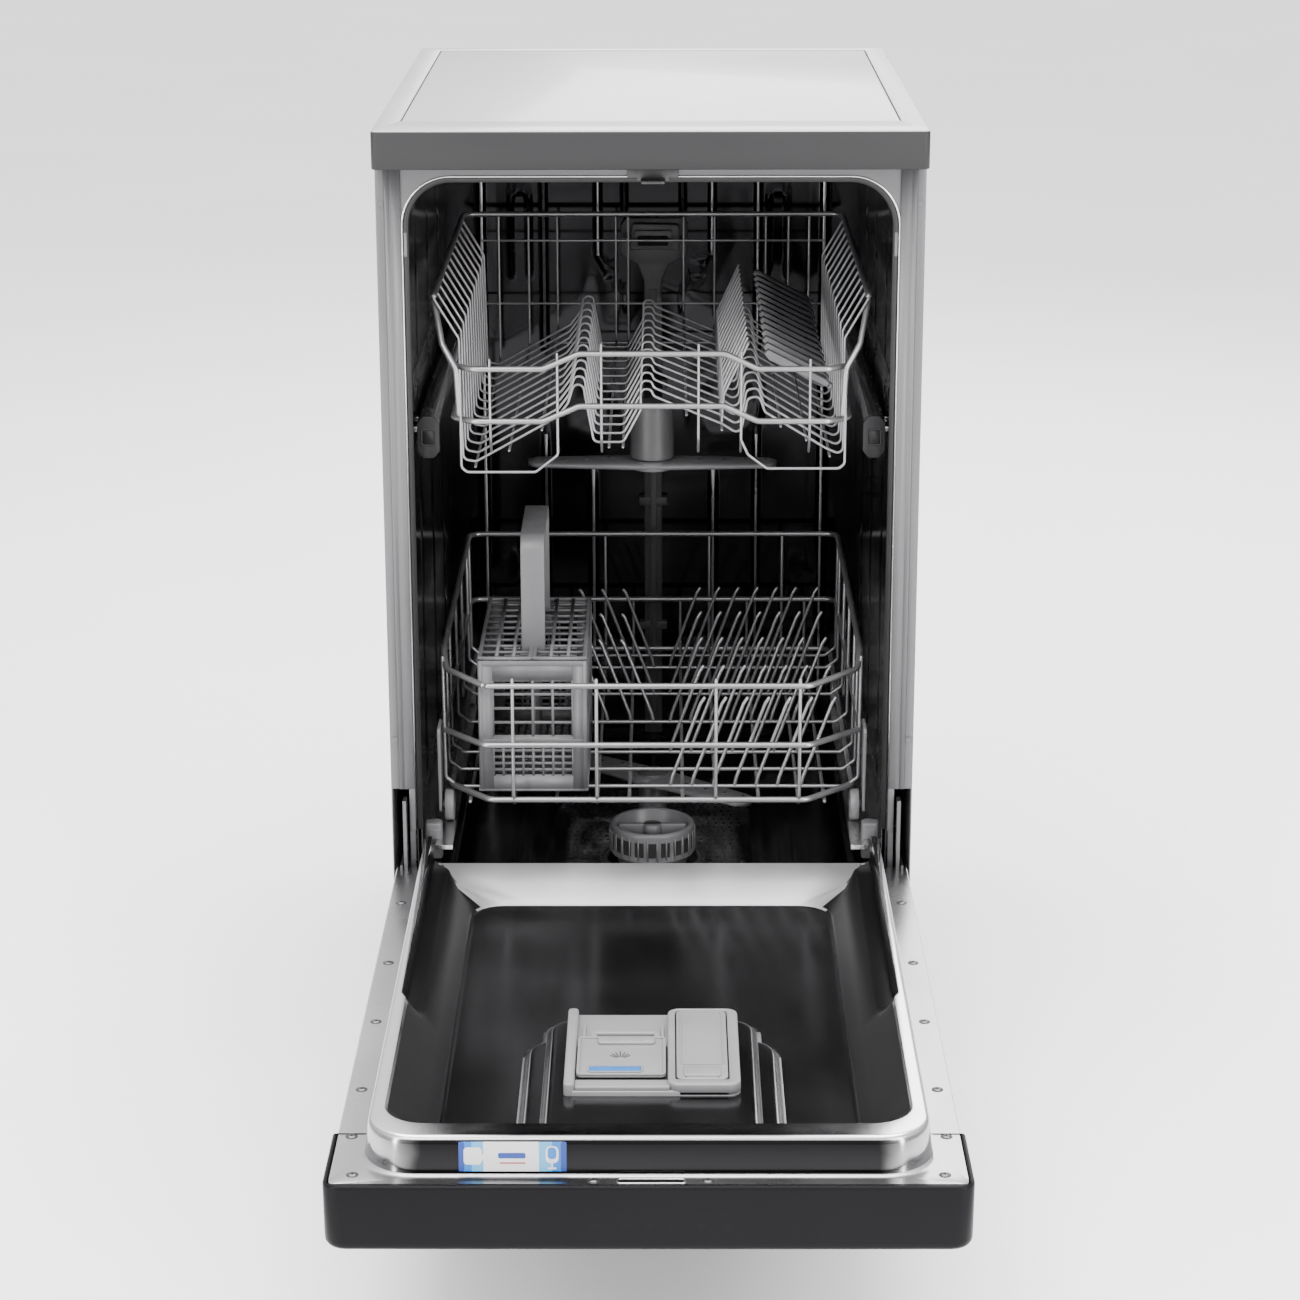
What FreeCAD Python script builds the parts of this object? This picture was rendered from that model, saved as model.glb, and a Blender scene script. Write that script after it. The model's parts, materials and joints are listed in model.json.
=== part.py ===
"""Slimline dishwasher, 450 mm wide, with its door open: every piece a body of its own.

Frame: X to the right, Y towards the back, Z up, millimetres. The origin is on the floor, on the
middle plane, under the front edge of the worktop. The door turns about an axis along X.
"""
import FreeCAD, Part

import math
import os
import re

import Sketcher
from FreeCAD import Placement, Rotation, Vector

SIZES = {
    # Cabinet
    "cabinet_half": 225, "cabinet_front": 31.5, "cabinet_back": 565, "panel_sheet": 0.8,
    "worktop_depth": 575, "worktop_top": 850, "worktop_bottom": 818.5, "worktop_border": 20,
    "worktop_front_border": 57, "worktop_back_border": 22, "worktop_ledge": 14,
    "worktop_panel_gap": 0.4, "worktop_panel_drop": 0.6, "worktop_panel_thick": 16,
    "side_bottom": 25, "flange_front": 7, "flange_back": 16,
    "base_half": 222.5, "base_wall": 3, "base_bottom": 25, "base_top": 112, "base_front": 60,
    "column_front": 114, "column_back": 150, "column_top": 215, "column_inner": 204,
    "plinth_front": 56, "plinth_top": 116, "plinth_half": 217, "plinth_bottom": 26,
    "foot_x": 190, "foot_front_y": 90, "foot_back_y": 520, "foot_pad_radius": 19,
    "foot_pad_height": 8, "foot_stem_radius": 5, 
    # Tub
    "tub_half": 200, "tub_sheet": 0.8, "tub_top": 804, "tub_front": 45, "tub_back_y": 545,
    "tub_floor_z": 150, "tub_corner": 36.5, "opening_half": 203.5, "opening_top": 807.5,
    "opening_corner": 40, "frame_front": 33, "frame_half": 218, "frame_bottom": 196,
    "frame_waist": 209.5, "notch_top": 279, "trim_front": 30.6, "trim_inner": 204.5,
    "trim_bottom": 241, "trim_top": 817,
    "gasket_half": 198.6, "gasket_top": 798, "gasket_corner": 36, "gasket_front": 34,
    "lip_y": 38, "lip_z": 204, "slope_end_y": 150, "track_inner": 173.9, "track_top": 222,
    "track_thick": 4, "sump_half": 75, "sump_front": 160, "sump_back": 375, "sump_wall": 3,
    "sump_bottom": 62, "arm_center_y": 290, "catch_half": 13, "tongue_half": 10, "tongue_reach": 18,
    "pump_can_radius": 44, "pump_can_length": 150, "pump_x": -20, "drain_can_radius": 24,
    "drain_can_length": 72, "drain_x": 136, "drain_z": 60, "neck_start": 132,
    "spigot_end": 585, "collar_thick": 4, "salt_x": 120, "salt_y": 430, "salt_half": 28,
    "pump_y": 470, "pump_z": 82,
    # Spray arms, filter and water parts
    "lower_arm_turn": -38, "arm_radius": 116, "arm_width": 44, "arm_thick": 11, "arm_bore": 11.05,
    "lower_arm_z": 193, "upper_arm_z": 500,
    "hub_radius": 20, "filter_radius": 39, "filter_y": 200, "filter_top": 187, "filter_bottom": 120,
    "filter_wall": 2.5, "plate_half": 92, "plate_thick": 2,
    "duct_half": 13, "duct_front": 526, "duct_bottom": 152, "duct_top": 640,
    "head_half": 34, "head_bottom": 640, "head_top": 690,
    # Upper rack and its rails
    "wire": 1.75, "rim_wire": 2.5, "rack_front": 66, "rack_back": 518,
    "upper_half": 164, "fence_half": 184, "fence_top": 698, "fence_knee": 662,
    "upper_floor": 557, "upper_rim_z": 641, "upper_mid_z": 596, "rim_rise": 13,
    "rail_inner": 186, "rail_outer": 197.5, "rail_bottom": 570, "rail_top": 598, "rail_lip": 2,
    "rail_back": 540, "cap_depth": 4,
    "upper_wheel_radius": 11.5, "upper_wheel_y": 90, "upper_wheel_pitch": 38,
    "shelf_hinge_x": 152, "shelf_hinge_z": 617, "shelf_edge_x": 96, "shelf_edge_z": 648,
    "shelf_front": 100, "shelf_back": 480, "shelf_thick": 2.4,
    # Lower rack
    "lower_half": 184, "lower_floor": 255, "lower_rim_z": 362, "lower_side_z": 378,
    "lower_mid_z": 307, "lower_wheel_radius": 14, "lower_wheel_y": 110, "lower_wheel_base": 330,
    "wheel_gap": 0.5, "wheel_inner": 176, "wheel_outer": 184, "axle_radius": 3, "axle_fit": 0.05,
    # Cutlery basket
    "basket_left": -151, "basket_right": -57, "basket_front": 82, "basket_back": 268,
    "basket_bottom": 259, "basket_top": 379, "basket_wall": 2.4, "lid_thick": 3,
    "handle_half": 10.5, "handle_top": 482, "handle_thick": 4, "handle_reach": 62,
    # Door, measured along it (u) from its pivot and across it (w) towards the tub
    "pivot_y": 25, "pivot_z": 205, "door_top_u": 610, "skin_bottom_u": 70, "fascia_u": 526,
    "skin_w": 44, "flange_w": 4.4, "rim_w": 33, "recess_w": 12, "skin_half": 221.5,
    "rim_half": 198, "rim_inner_half": 186, "recess_half": 152, "liner_end_u": 5,
    "flange_start_u": 13, "rim_top_u": 592, "rim_top_inner_u": 568, "recess_top_u": 536,
    "recess_bottom_u": 50, "track_end_u": 344, "liner_top_u": 605, "liner_sheet": 0.8,
    "liner_side_u": 1, "rim_chamfer": 36, "channel_outer": 190, "low_slope_w": 8,
    "slot_left": -22, "slot_right": 26, "slot_low_u": 595.5, "slot_high_u": 603,
    "fascia_wall": 3, "fascia_edge": 4, "hinge_x": 211.5, "hinge_bar": 3, "hinge_width": 12,
    "hinge_arm_top": 67, "hinge_arm_reach": 150, "pin_radius": 4, "pin_fit": 0.05,
    # Detergent dispenser
    "disp_left": -63, "disp_right": 67, "disp_low_u": 317, "disp_high_u": 456, "disp_top_w": 8,
    "disp_split": 14, "lid_low_u": 372, "lid_high_u": 440, "lid_left": -54, "cap_left": 20,
    "cap_right": 58, "cap_low_u": 322, "cap_high_u": 446, "cap_thick": 3, "chamber_depth": 14,
}

document = FreeCAD.newDocument("dishwasher")
sheet = document.addObject("Spreadsheet::Sheet", "Sizes")
for row, (name, value) in enumerate(SIZES.items(), start=1):
    sheet.set(f"A{row}", name)
    sheet.set(f"B{row}", str(value))
    sheet.setAlias(f"B{row}", name)
document.recompute()

SIDES = (("left", -1), ("right", 1))
SPIGOTS = {"inlet_valve": (-150, 90, 13.2), "drain_spigot": (150, 80, 10)}
nodes = []


# ---------------------------------------------------------------- helpers

def formula(text):
    """An expression written in the sheet's words, as FreeCAD wants it."""
    return re.sub(r"[a-z][a-z_]{2,}", lambda word: "Sizes." + word.group(), str(text))


def bind(item, prop, text):
    item.setExpression(prop, formula(text))


def value(text):
    """The number that an expression in the sheet's words comes to."""
    return float(sheet.evalExpression(formula(text)))


def keep(item, label):
    """Names a sub-part and lists it for export."""
    item.Label = label
    nodes.append(item)
    return item


def span(sign, inner, outer):
    """Low and high X of a piece that runs from inner to outer on the side that sign gives."""
    return (inner, outer) if sign > 0 else (f"-({outer})", f"-({inner})")


def block(low, high):
    """A box between two corners, each given as three expressions."""
    item = document.addObject("Part::Box", "block")
    for prop, start, end in zip(("Length", "Width", "Height"), low, high):
        bind(item, prop, f"({end}) - ({start})")
    for axis, start in zip("xyz", low):
        bind(item, f"Placement.Base.{axis}", start)
    return item


def rod(radius, start, axis, length):
    """A round bar from a point along +X, +Y or +Z."""
    item = document.addObject("Part::Cylinder", "rod")
    turn = {"x": (Vector(0, 1, 0), 90), "y": (Vector(1, 0, 0), -90), "z": (Vector(0, 0, 1), 0)}
    item.Placement = Placement(Vector(), Rotation(*turn[axis]))
    bind(item, "Radius", radius)
    bind(item, "Height", length)
    for name, place in zip("xyz", start):
        bind(item, f"Placement.Base.{name}", place)
    return item


def cut(base, tool):
    item = document.addObject("Part::Cut", "cut")
    item.Base = base
    item.Tool = tool
    return item


def fuse(items):
    item = document.addObject("Part::MultiFuse", "fuse")
    item.Shapes = items
    return item


def gather(items):
    """Several separate solids as one sub-part."""
    item = document.addObject("Part::Compound", "group")
    item.Links = items
    return item


def solids(label, shapes):
    """A sub-part made of solids that Part's own functions give."""
    item = document.addObject("Part::Feature", "solids")
    item.Shape = shapes[0] if len(shapes) == 1 else Part.makeCompound(shapes)
    return keep(item, label)


def attached_sketch(body, role, offset):
    sketch = body.newObject("Sketcher::SketchObject", "outline")
    plane = [feature for feature in body.Origin.OriginFeatures if feature.Role == role][0]
    sketch.AttachmentSupport = [(plane, "")]
    sketch.MapMode = "FlatFace"
    bind(sketch, "AttachmentOffset.Base.z", offset)
    return sketch


def draw_outline(sketch, points):
    """A closed outline whose every corner is dimensioned from the sketch's origin."""
    places = [Vector(value(across), value(up), 0) for across, up in points]
    for index, place in enumerate(places):
        sketch.addGeometry(Part.LineSegment(place, places[(index + 1) % len(places)]), False)
    for index in range(len(points)):
        follower = (index + 1) % len(points)
        sketch.addConstraint(Sketcher.Constraint("Coincident", index, 2, follower, 1))
    for index, (corner, place) in enumerate(zip(points, places)):
        for kind, prefix, text, number in (("DistanceX", "across", corner[0], place.x),
                                           ("DistanceY", "up", corner[1], place.y)):
            rule = sketch.addConstraint(Sketcher.Constraint(kind, -1, 1, index, 1, number))
            sketch.renameConstraint(rule, f"{prefix}{index}")
            bind(sketch, f"Constraints.{prefix}{index}", text)


def add_pad(body, role, points, start, length):
    """Pads an outline from start, along the plane's own axis: XY up, XZ back, YZ to the right."""
    backwards = role == "XZ_Plane"
    sketch = attached_sketch(body, role, f"-({start})" if backwards else start)
    draw_outline(sketch, points)
    pad = body.newObject("PartDesign::Pad", "pad")
    pad.Profile = sketch
    pad.Reversed = backwards
    bind(pad, "Length", length)
    document.recompute()
    return pad


def add_pocket(body, role, points, start, depth):
    """Cuts an outline out of the body, from start the same way as add_pad goes."""
    backwards = role == "XZ_Plane"
    sketch = attached_sketch(body, role, f"-({start})" if backwards else start)
    draw_outline(sketch, points)
    before = body.Shape.Volume
    pocket = body.newObject("PartDesign::Pocket", "pocket")
    pocket.Profile = sketch
    pocket.Reversed = not backwards
    bind(pocket, "Length", depth)
    document.recompute()
    if body.Shape.Volume >= before:
        raise RuntimeError(f"a pocket in {body.Label} cuts nothing")
    return pocket


def rectangle(low_x, low_y, high_x, high_y):
    return [(low_x, low_y), (high_x, low_y), (high_x, high_y), (low_x, high_y)]


def padded(role, points, start, length):
    body = document.addObject("PartDesign::Body", "body")
    add_pad(body, role, points, start, length)
    return body


def round_edges(body, radius, chosen):
    """Fillets the edges of the body's tip that the test picks."""
    base = body.Tip
    names = [f"Edge{index}" for index, edge in enumerate(base.Shape.Edges, start=1) if chosen(edge)]
    fillet = body.newObject("PartDesign::Fillet", "fillet")
    fillet.Base = (base, names)
    bind(fillet, "Radius", radius)
    document.recompute()
    return fillet


def runs_along(axis):
    """A test for straight edges along an axis."""
    direction = {"x": Vector(1, 0, 0), "y": Vector(0, 1, 0), "z": Vector(0, 0, 1)}[axis]

    def chosen(edge):
        if edge.Curve.TypeId != "Part::GeomLine":
            return False
        return abs(edge.tangentAt(edge.FirstParameter).dot(direction)) > 0.999
    return chosen


def turned(points, place, axis="z"):
    """A body turned about its own axis from a half outline of radius and height."""
    body = document.addObject("PartDesign::Body", "turned")
    sketch = attached_sketch(body, "XZ_Plane", 0)
    draw_outline(sketch, points)
    spin = body.newObject("PartDesign::Revolution", "spin")
    spin.Profile = sketch
    spin.ReferenceAxis = (sketch, ["V_Axis"])
    spin.Angle = 360
    turn = {"x": Rotation(Vector(0, 1, 0), 90), "y": Rotation(Vector(1, 0, 0), -90), "z": Rotation()}
    body.Placement = Placement(Vector(), turn[axis])
    for name, text in zip("xyz", place):
        bind(body, f"Placement.Base.{name}", text)
    document.recompute()
    return body


def portal(outer, inner, low_y, high_y, bottom):
    """An upright frame with round upper corners, as posts, head and corner solids.

    outer and inner are each half width, top height and corner radius.
    """
    def arch(half, top, corner):
        plate = Part.makeBox(2 * half, high_y - low_y, top - bottom, Vector(-half, low_y, bottom))
        edges = [edge for edge in plate.Edges if edge.CenterOfMass.z > top - 0.01
                 and abs(abs(edge.CenterOfMass.x) - half) < 0.01]
        return plate.makeFillet(corner, edges) if corner else plate
    ring = arch(*outer).cut(arch(*inner))
    reach, top = outer[0] + 1, outer[1] + 1
    bend_x, bend_z = inner[0] - inner[2], inner[1] - inner[2]
    zones = [(-reach, bottom, -bend_x, bend_z), (bend_x, bottom, reach, bend_z),
             (-bend_x, bend_z, bend_x, top), (-reach, bend_z, -bend_x, top), (bend_x, bend_z, reach, top)]
    pieces = []
    for low_x, low_z, high_x, high_z in zones:
        zone = Part.makeBox(high_x - low_x, high_y - low_y, high_z - low_z, Vector(low_x, low_y, low_z))
        pieces.extend(ring.common(zone).Solids)
    return pieces


def wire_run(points, radius):
    """Straight bars along a bent wire. At a bend both bars stop where they would meet."""
    corners = [Vector(*point) for point in points]
    bars = []
    for index in range(len(corners) - 1):
        start, end = corners[index], corners[index + 1]
        along = (end - start).normalize()
        for near, far, back in ((index - 1, index, True), (index + 1, index + 2, False)):
            if (back and index == 0) or (not back and index + 2 >= len(corners)):
                continue
            other = (corners[far] - corners[near]).normalize()
            trim = radius * math.tan(along.getAngle(other) / 2) + WIRE_GAP
            if back:
                start = start + along * trim
            else:
                end = end - along * trim
        bars.append(Part.makeCylinder(radius, (end - start).Length, start, along))
    return bars


WIRE_GAP = 0.02


# ---------------------------------------------------------------- cabinet

def make_worktop():
    """A moulded frame with a ledge inside it, and the panel that drops onto the ledge."""
    frame = padded("XY_Plane", rectangle("-cabinet_half", 0, "cabinet_half", "worktop_depth"),
                   "worktop_bottom", "worktop_top - worktop_bottom")
    inner = "cabinet_half - worktop_border"
    front, back = "worktop_front_border", "worktop_depth - worktop_back_border"
    seat = "worktop_top - worktop_panel_drop - worktop_panel_thick"
    add_pocket(frame, "XY_Plane", rectangle(f"-({inner})", front, inner, back),
               seat, f"worktop_top - ({seat})")
    ledge = f"{inner} - worktop_ledge"
    add_pocket(frame, "XY_Plane",
               rectangle(f"-({ledge})", f"{front} + worktop_ledge", ledge, f"{back} - worktop_ledge"),
               "worktop_bottom", f"{seat} - worktop_bottom")
    half = value("cabinet_half")
    depth = value("worktop_depth")

    def outer_corner(edge):
        middle = edge.CenterOfMass
        corner = abs(abs(middle.x) - half) < 0.1 and (middle.y < 0.1 or middle.y > depth - 0.1)
        return runs_along("z")(edge) and corner
    round_edges(frame, 4, outer_corner)
    keep(frame, "worktop_frame")
    side = f"{inner} - worktop_panel_gap"
    panel = padded("XY_Plane", rectangle(f"-({side})", f"{front} + worktop_panel_gap", side,
                                         f"{back} - worktop_panel_gap"), seat, "worktop_panel_thick")
    keep(panel, "worktop_panel")


def make_side_panels():
    """Sheets with a return at the back, and one at the front above the door's hinges."""
    for side, sign in SIDES:
        low, high = span(sign, "cabinet_half - panel_sheet", "cabinet_half")
        sheets = [block((low, "cabinet_front", "side_bottom"), (high, "cabinet_back", "worktop_bottom"))]
        low, high = span(sign, "cabinet_half - flange_front", "cabinet_half - panel_sheet")
        sheets.append(block((low, "cabinet_front", "notch_top"),
                            (high, "cabinet_front + panel_sheet", "worktop_bottom")))
        low, high = span(sign, "cabinet_half - flange_back", "cabinet_half - panel_sheet")
        sheets.append(block((low, "cabinet_back - panel_sheet", "side_bottom"),
                            (high, "cabinet_back", "worktop_bottom")))
        keep(gather(sheets), f"side_panel_{side}")


def make_rear_panel():
    inside = "cabinet_half - flange_back - 0.3"
    keep(block((f"-({inside})", "cabinet_back - panel_sheet", "base_top"),
               (inside, "cabinet_back", "worktop_bottom - 1")), "rear_panel")


def tray(low, high, wall):
    """An open box as a floor and four walls that touch at the corners."""
    (low_x, low_y, low_z), (high_x, high_y, high_z) = low, high
    floor = f"{low_z} + {wall}"
    return [block(low, (high_x, high_y, floor)),
            block((low_x, low_y, floor), (high_x, f"{low_y} + {wall}", high_z)),
            block((low_x, f"{high_y} - {wall}", floor), (high_x, high_y, high_z)),
            block((low_x, f"{low_y} + {wall}", floor), (f"{low_x} + {wall}", f"{high_y} - {wall}", high_z)),
            block((f"{high_x} - {wall}", f"{low_y} + {wall}", floor),
                  (high_x, f"{high_y} - {wall}", high_z))]


def make_base():
    """A moulded tray with a column at each front corner that carries a door hinge."""
    pieces = tray(("-base_half", "base_front", "base_bottom"),
                  ("base_half", "cabinet_back - flange_back", "base_top"), "base_wall")
    for x, z, radius in SPIGOTS.values():
        hole = rod(f"{radius} + 0.4", (x, "cabinet_back - flange_back - base_wall - 1", z), "y",
                   "base_wall + 2")
        pieces[2] = cut(pieces[2], hole)
    for _, sign in SIDES:
        low, high = span(sign, "column_inner", "base_half - base_wall")
        pieces.append(block((low, "column_front", "base_bottom + base_wall"),
                            (high, "column_back", "column_top")))
    keep(gather(pieces), "base_tray")
    keep(block(("-plinth_half", "plinth_front", "plinth_bottom"),
               ("plinth_half", "plinth_front + 2", "plinth_top")), "plinth")


def foot(x, y):
    """A threaded stem on a round pad."""
    return turned([(0, 0), ("foot_pad_radius - 3", 0), ("foot_pad_radius", "foot_pad_height / 2"),
                   ("foot_pad_radius", "foot_pad_height"), ("foot_stem_radius", "foot_pad_height + 2"),
                   ("foot_stem_radius", "base_bottom - 0.3"), (0, "base_bottom - 0.3")], (x, y, 0))


def make_feet():
    for side, sign in SIDES:
        keep(foot(f"{sign} * foot_x", "foot_front_y"), f"front_foot_{side}")
    keep(gather([foot(f"{sign} * foot_x", "foot_back_y") for _, sign in SIDES]), "rear_feet")


# ---------------------------------------------------------------- tub

def make_tub():
    corner = value("tub_corner")
    skin = value("tub_sheet")
    half, top = value("tub_half"), value("tub_top")
    wrap = portal((half + skin, top + skin, corner + skin), (half, top, corner),
                  value("tub_front"), value("tub_back_y"), value("tub_floor_z"))
    solids("tub_wrap", [piece.cut(under_slope()) for piece in wrap])
    side = "tub_half + tub_sheet"
    rear = padded("XZ_Plane", rectangle(f"-({side})", "tub_floor_z", side, "tub_top + tub_sheet"),
                  "tub_back_y", "tub_sheet")
    round_edges(rear, "tub_corner + tub_sheet",
                lambda edge: runs_along("y")(edge) and edge.CenterOfMass.z > top)
    keep(rear, "tub_back")
    solids("tub_front_frame", front_frame())
    for_gasket = portal((value("opening_half"), value("opening_top"), value("opening_corner")),
                        (value("gasket_half"), value("gasket_top"), value("gasket_corner")),
                        value("gasket_front"), value("tub_front - 0.5"), value("trim_bottom"))
    solids("door_gasket", for_gasket)
    keep(gather(tub_floor_pieces()), "tub_floor")
    trims = []
    for _, sign in SIDES:
        low, high = span(sign, "trim_inner", "frame_half")
        trims.append(block((low, "trim_front", "notch_top"), (high, "frame_front", "trim_top")))
        low, high = span(sign, "trim_inner", "frame_waist")
        trims.append(block((low, "trim_front", "trim_bottom"), (high, "frame_front", "notch_top")))
    keep(gather(trims), "front_trims")
    keep(block(("-tub_half + 4", "lip_y - 1.5", "lip_z - 9"), ("tub_half - 4", "lip_y", "lip_z + 1")),
         "door_seal_lower")


def under_slope():
    """The space under the tub's sloping front, which the open door's lower edge swings through."""
    start, end = value("lip_y + tub_sheet"), value("slope_end_y")
    high, low, reach = value("lip_z"), value("tub_floor_z"), value("cabinet_half")
    corners = [Vector(-reach, *place) for place in
               ((start, high), (end, low), (end, low - reach), (start, low - reach))]
    return Part.Face(Part.makePolygon(corners + corners[:1])).extrude(Vector(2 * reach, 0, 0))


def front_frame():
    """The frame round the tub's mouth, cut back at the foot of each post for the hinge arm."""
    pieces = portal((value("frame_half"), value("worktop_bottom"), 0),
                    (value("opening_half"), value("opening_top"), value("opening_corner")),
                    value("frame_front"), value("tub_front"), value("notch_top"))
    front, back = value("frame_front"), value("tub_front")
    low, high = value("frame_bottom"), value("notch_top")
    inner, outer = value("opening_half"), value("frame_waist")
    for _, sign in SIDES:
        start = inner if sign > 0 else -outer
        pieces.append(Part.makeBox(outer - inner, back - front, high - low, Vector(start, front, low)))
    return pieces


def tub_floor_pieces():
    """Bent sheet in flat facets: front lip, slope, and the floor round its two openings."""
    def facet(points):
        return padded("YZ_Plane", points, "-tub_half", "2 * tub_half")
    lip = facet([("lip_y", "lip_z - 8"), ("lip_y + tub_sheet", "lip_z - 8"),
                 ("lip_y + tub_sheet", "lip_z"), ("lip_y", "lip_z")])
    start = "lip_y + tub_sheet"
    slope = facet([(start, "lip_z - 1.2"), (start, "lip_z"), ("slope_end_y", "tub_floor_z"),
                   ("slope_end_y", "tub_floor_z - 1.2")])
    under = "tub_floor_z - tub_sheet"
    wide = "tub_half"
    salt_left, salt_right = "-salt_x - salt_half", "-salt_x + salt_half"
    salt_front, salt_back = "salt_y - salt_half", "salt_y + salt_half"
    zones = [(f"-{wide}", "slope_end_y", "-sump_half", "sump_back"),
             ("sump_half", "slope_end_y", wide, "sump_back"),
             ("-sump_half", "slope_end_y", "sump_half", "sump_front"),
             (f"-{wide}", "sump_back", wide, salt_front),
             (f"-{wide}", salt_front, salt_left, salt_back),
             (salt_right, salt_front, wide, salt_back),
             (f"-{wide}", salt_back, wide, "tub_back_y")]
    floor = [block((low_x, low_y, under), (high_x, high_y, "tub_floor_z"))
             for low_x, low_y, high_x, high_y in zones]
    return [lip, slope] + floor


def make_tracks():
    """Bars along the tub's sides that the lower rack's wheels run on, and the upper wheels' axles."""
    bars = []
    for _, sign in SIDES:
        behind_rim = "pivot_y + rim_w + 1.5"
        low, high = span(sign, "track_inner", "tub_half")
        bars.append(block((low, behind_rim, "track_top - track_thick"),
                          (high, "tub_back_y", "track_top")))
        low, high = span(sign, "track_inner", "channel_outer - 1")
        bars.append(block((low, "tub_front", "track_top - track_thick"),
                          (high, behind_rim, "track_top")))
    keep(gather(bars), "lower_tracks")
    axles = []
    for _, sign in SIDES:
        for number in range(2):
            place = f"upper_wheel_y + {number} * upper_wheel_pitch"
            low = "rail_inner + 1" if sign > 0 else "-tub_half"
            axles.append(rod("axle_radius", (low, place, "(rail_bottom + rail_top) / 2"), "x",
                             "tub_half - rail_inner - 1"))
    keep(gather(axles), "upper_wheel_axles")


def make_catch():
    """Striker under the worktop that the door's lock closes on."""
    middle = "(slot_left + slot_right) / 2"
    base = block((f"{middle} - catch_half", "frame_front - 1.6", "opening_top - 3"),
                 (f"{middle} + catch_half", "frame_front", "worktop_bottom - 3"))
    tongue = block((f"{middle} - tongue_half", "frame_front - tongue_reach", "opening_top - 3"),
                   (f"{middle} + tongue_half", "frame_front - 1.6", "opening_top - 0.5"))
    keep(fuse([base, tongue]), "door_catch")


def make_hinge_brackets():
    """A plate behind each door hinge, with the pin that the door's arm turns on."""
    plates = []
    for _, sign in SIDES:
        low, high = span(sign, "hinge_x + hinge_bar + 1.2", "hinge_x + hinge_bar + 3.2")
        plate = block((low, "pivot_y - 9", "pivot_z - 12"), (high, "column_front", "pivot_z + 9"))
        start, _ = span(sign, "hinge_x - 1.5", "hinge_x + hinge_bar + 1.2")
        pin = rod("pin_radius", (start, "pivot_y", "pivot_z"), "x", "hinge_bar + 2.7")
        plates.extend([plate, pin])
    keep(gather(plates), "hinge_brackets")


# ---------------------------------------------------------------- water parts

def make_water_parts():
    inside = "sump_half - 2"
    sump = tray((f"-({inside})", "sump_front - 4", "sump_bottom"),
                (inside, "sump_back - 30", "tub_floor_z - 1.2"), "sump_wall")
    sump.append(rod(16, (40, "sump_back - 30", "pump_z"), "y", "pump_y - 44 - sump_back + 29"))
    keep(gather(sump), "sump")
    plate_y = ("sump_front - 8", "sump_back + 8")
    plate = block(("-plate_half", plate_y[0], "tub_floor_z"),
                  ("plate_half", plate_y[1], "tub_floor_z + plate_thick"))
    opening = rod("filter_radius + 0.6", (0, "filter_y", "tub_floor_z - 1"), "z", "plate_thick + 2")
    hub_seat = rod("hub_radius - 6", (0, "arm_center_y", "tub_floor_z - 1"), "z", "plate_thick + 2")
    keep(cut(cut(plate, opening), hub_seat), "filter_plate")
    hub_start = "tub_floor_z + plate_thick"
    hub = turned([(0, hub_start), ("hub_radius", hub_start), ("hub_radius - 4", "lower_arm_z - 6"),
                  ("hub_radius - 4", "lower_arm_z - 0.5"), ("arm_bore - 0.05", "lower_arm_z - 0.5"),
                  ("arm_bore - 0.05", "lower_arm_z + arm_thick + 0.4"),
                  (0, "lower_arm_z + arm_thick + 0.4")], (0, "arm_center_y", 0))
    keep(hub, "lower_spray_hub")
    make_filter_cup()
    keep(rounded_can("pump_can_radius", "pump_can_length", ("pump_x", "pump_y", "pump_z")),
         "circulation_pump")
    keep(rounded_can("drain_can_radius", "drain_can_length", ("drain_x", "pump_y", "drain_z")),
         "drain_pump")
    make_softener()
    duct = block(("-duct_half", "duct_front + 6", "duct_bottom"),
                 ("duct_half", "tub_back_y", "duct_top"))
    head = block(("-head_half", "duct_front", "head_bottom"), ("head_half", "tub_back_y", "head_top"))
    port = block(("-duct_half", "duct_front - 4", "upper_arm_z + 22"),
                 ("duct_half", "duct_front + 6", "upper_arm_z + 50"))
    keep(gather([duct, head, port]), "feed_duct")
    for label, (x, z, radius) in SPIGOTS.items():
        spigot(label, x, z, radius)


def make_softener():
    """The salt tank under the tub, with a neck up to the tub's floor and a cap that screws in."""
    neck = "salt_half - 4"
    tank = padded("XY_Plane", rectangle(-196, 250, "-sump_half - 4", 505), 40, 92)
    round_edges(tank, 8, runs_along("z"))
    collar = turned([(f"{neck} - 4", "neck_start"), (neck, "neck_start"), (neck, "tub_floor_z - 0.4"),
                     (f"{neck} - 4", "tub_floor_z - 0.4")], ("-salt_x", "salt_y", 0))
    keep(gather([tank, collar]), "water_softener")
    rim = "tub_floor_z + 0.3"
    cap = turned([(0, f"{rim} - 9"), (f"{neck} - 4.4", f"{rim} - 9"), (f"{neck} - 4.4", rim),
                  ("salt_half - 2", rim), ("salt_half - 2", f"{rim} + 9"),
                  ("salt_half - 7", f"{rim} + 12"), (0, f"{rim} + 12")], ("-salt_x", "salt_y", 0))
    keep(cap, "salt_cap")


def rounded_can(radius, length, place):
    """A motor or pump body: a can lying along X with chamfered ends."""
    bevel = f"{radius} / 5"
    return turned([(0, 0), (f"{radius} - {bevel}", 0), (radius, bevel), (radius, f"{length} - {bevel}"),
                   (f"{radius} - {bevel}", length), (0, length)], place, "x")


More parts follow.
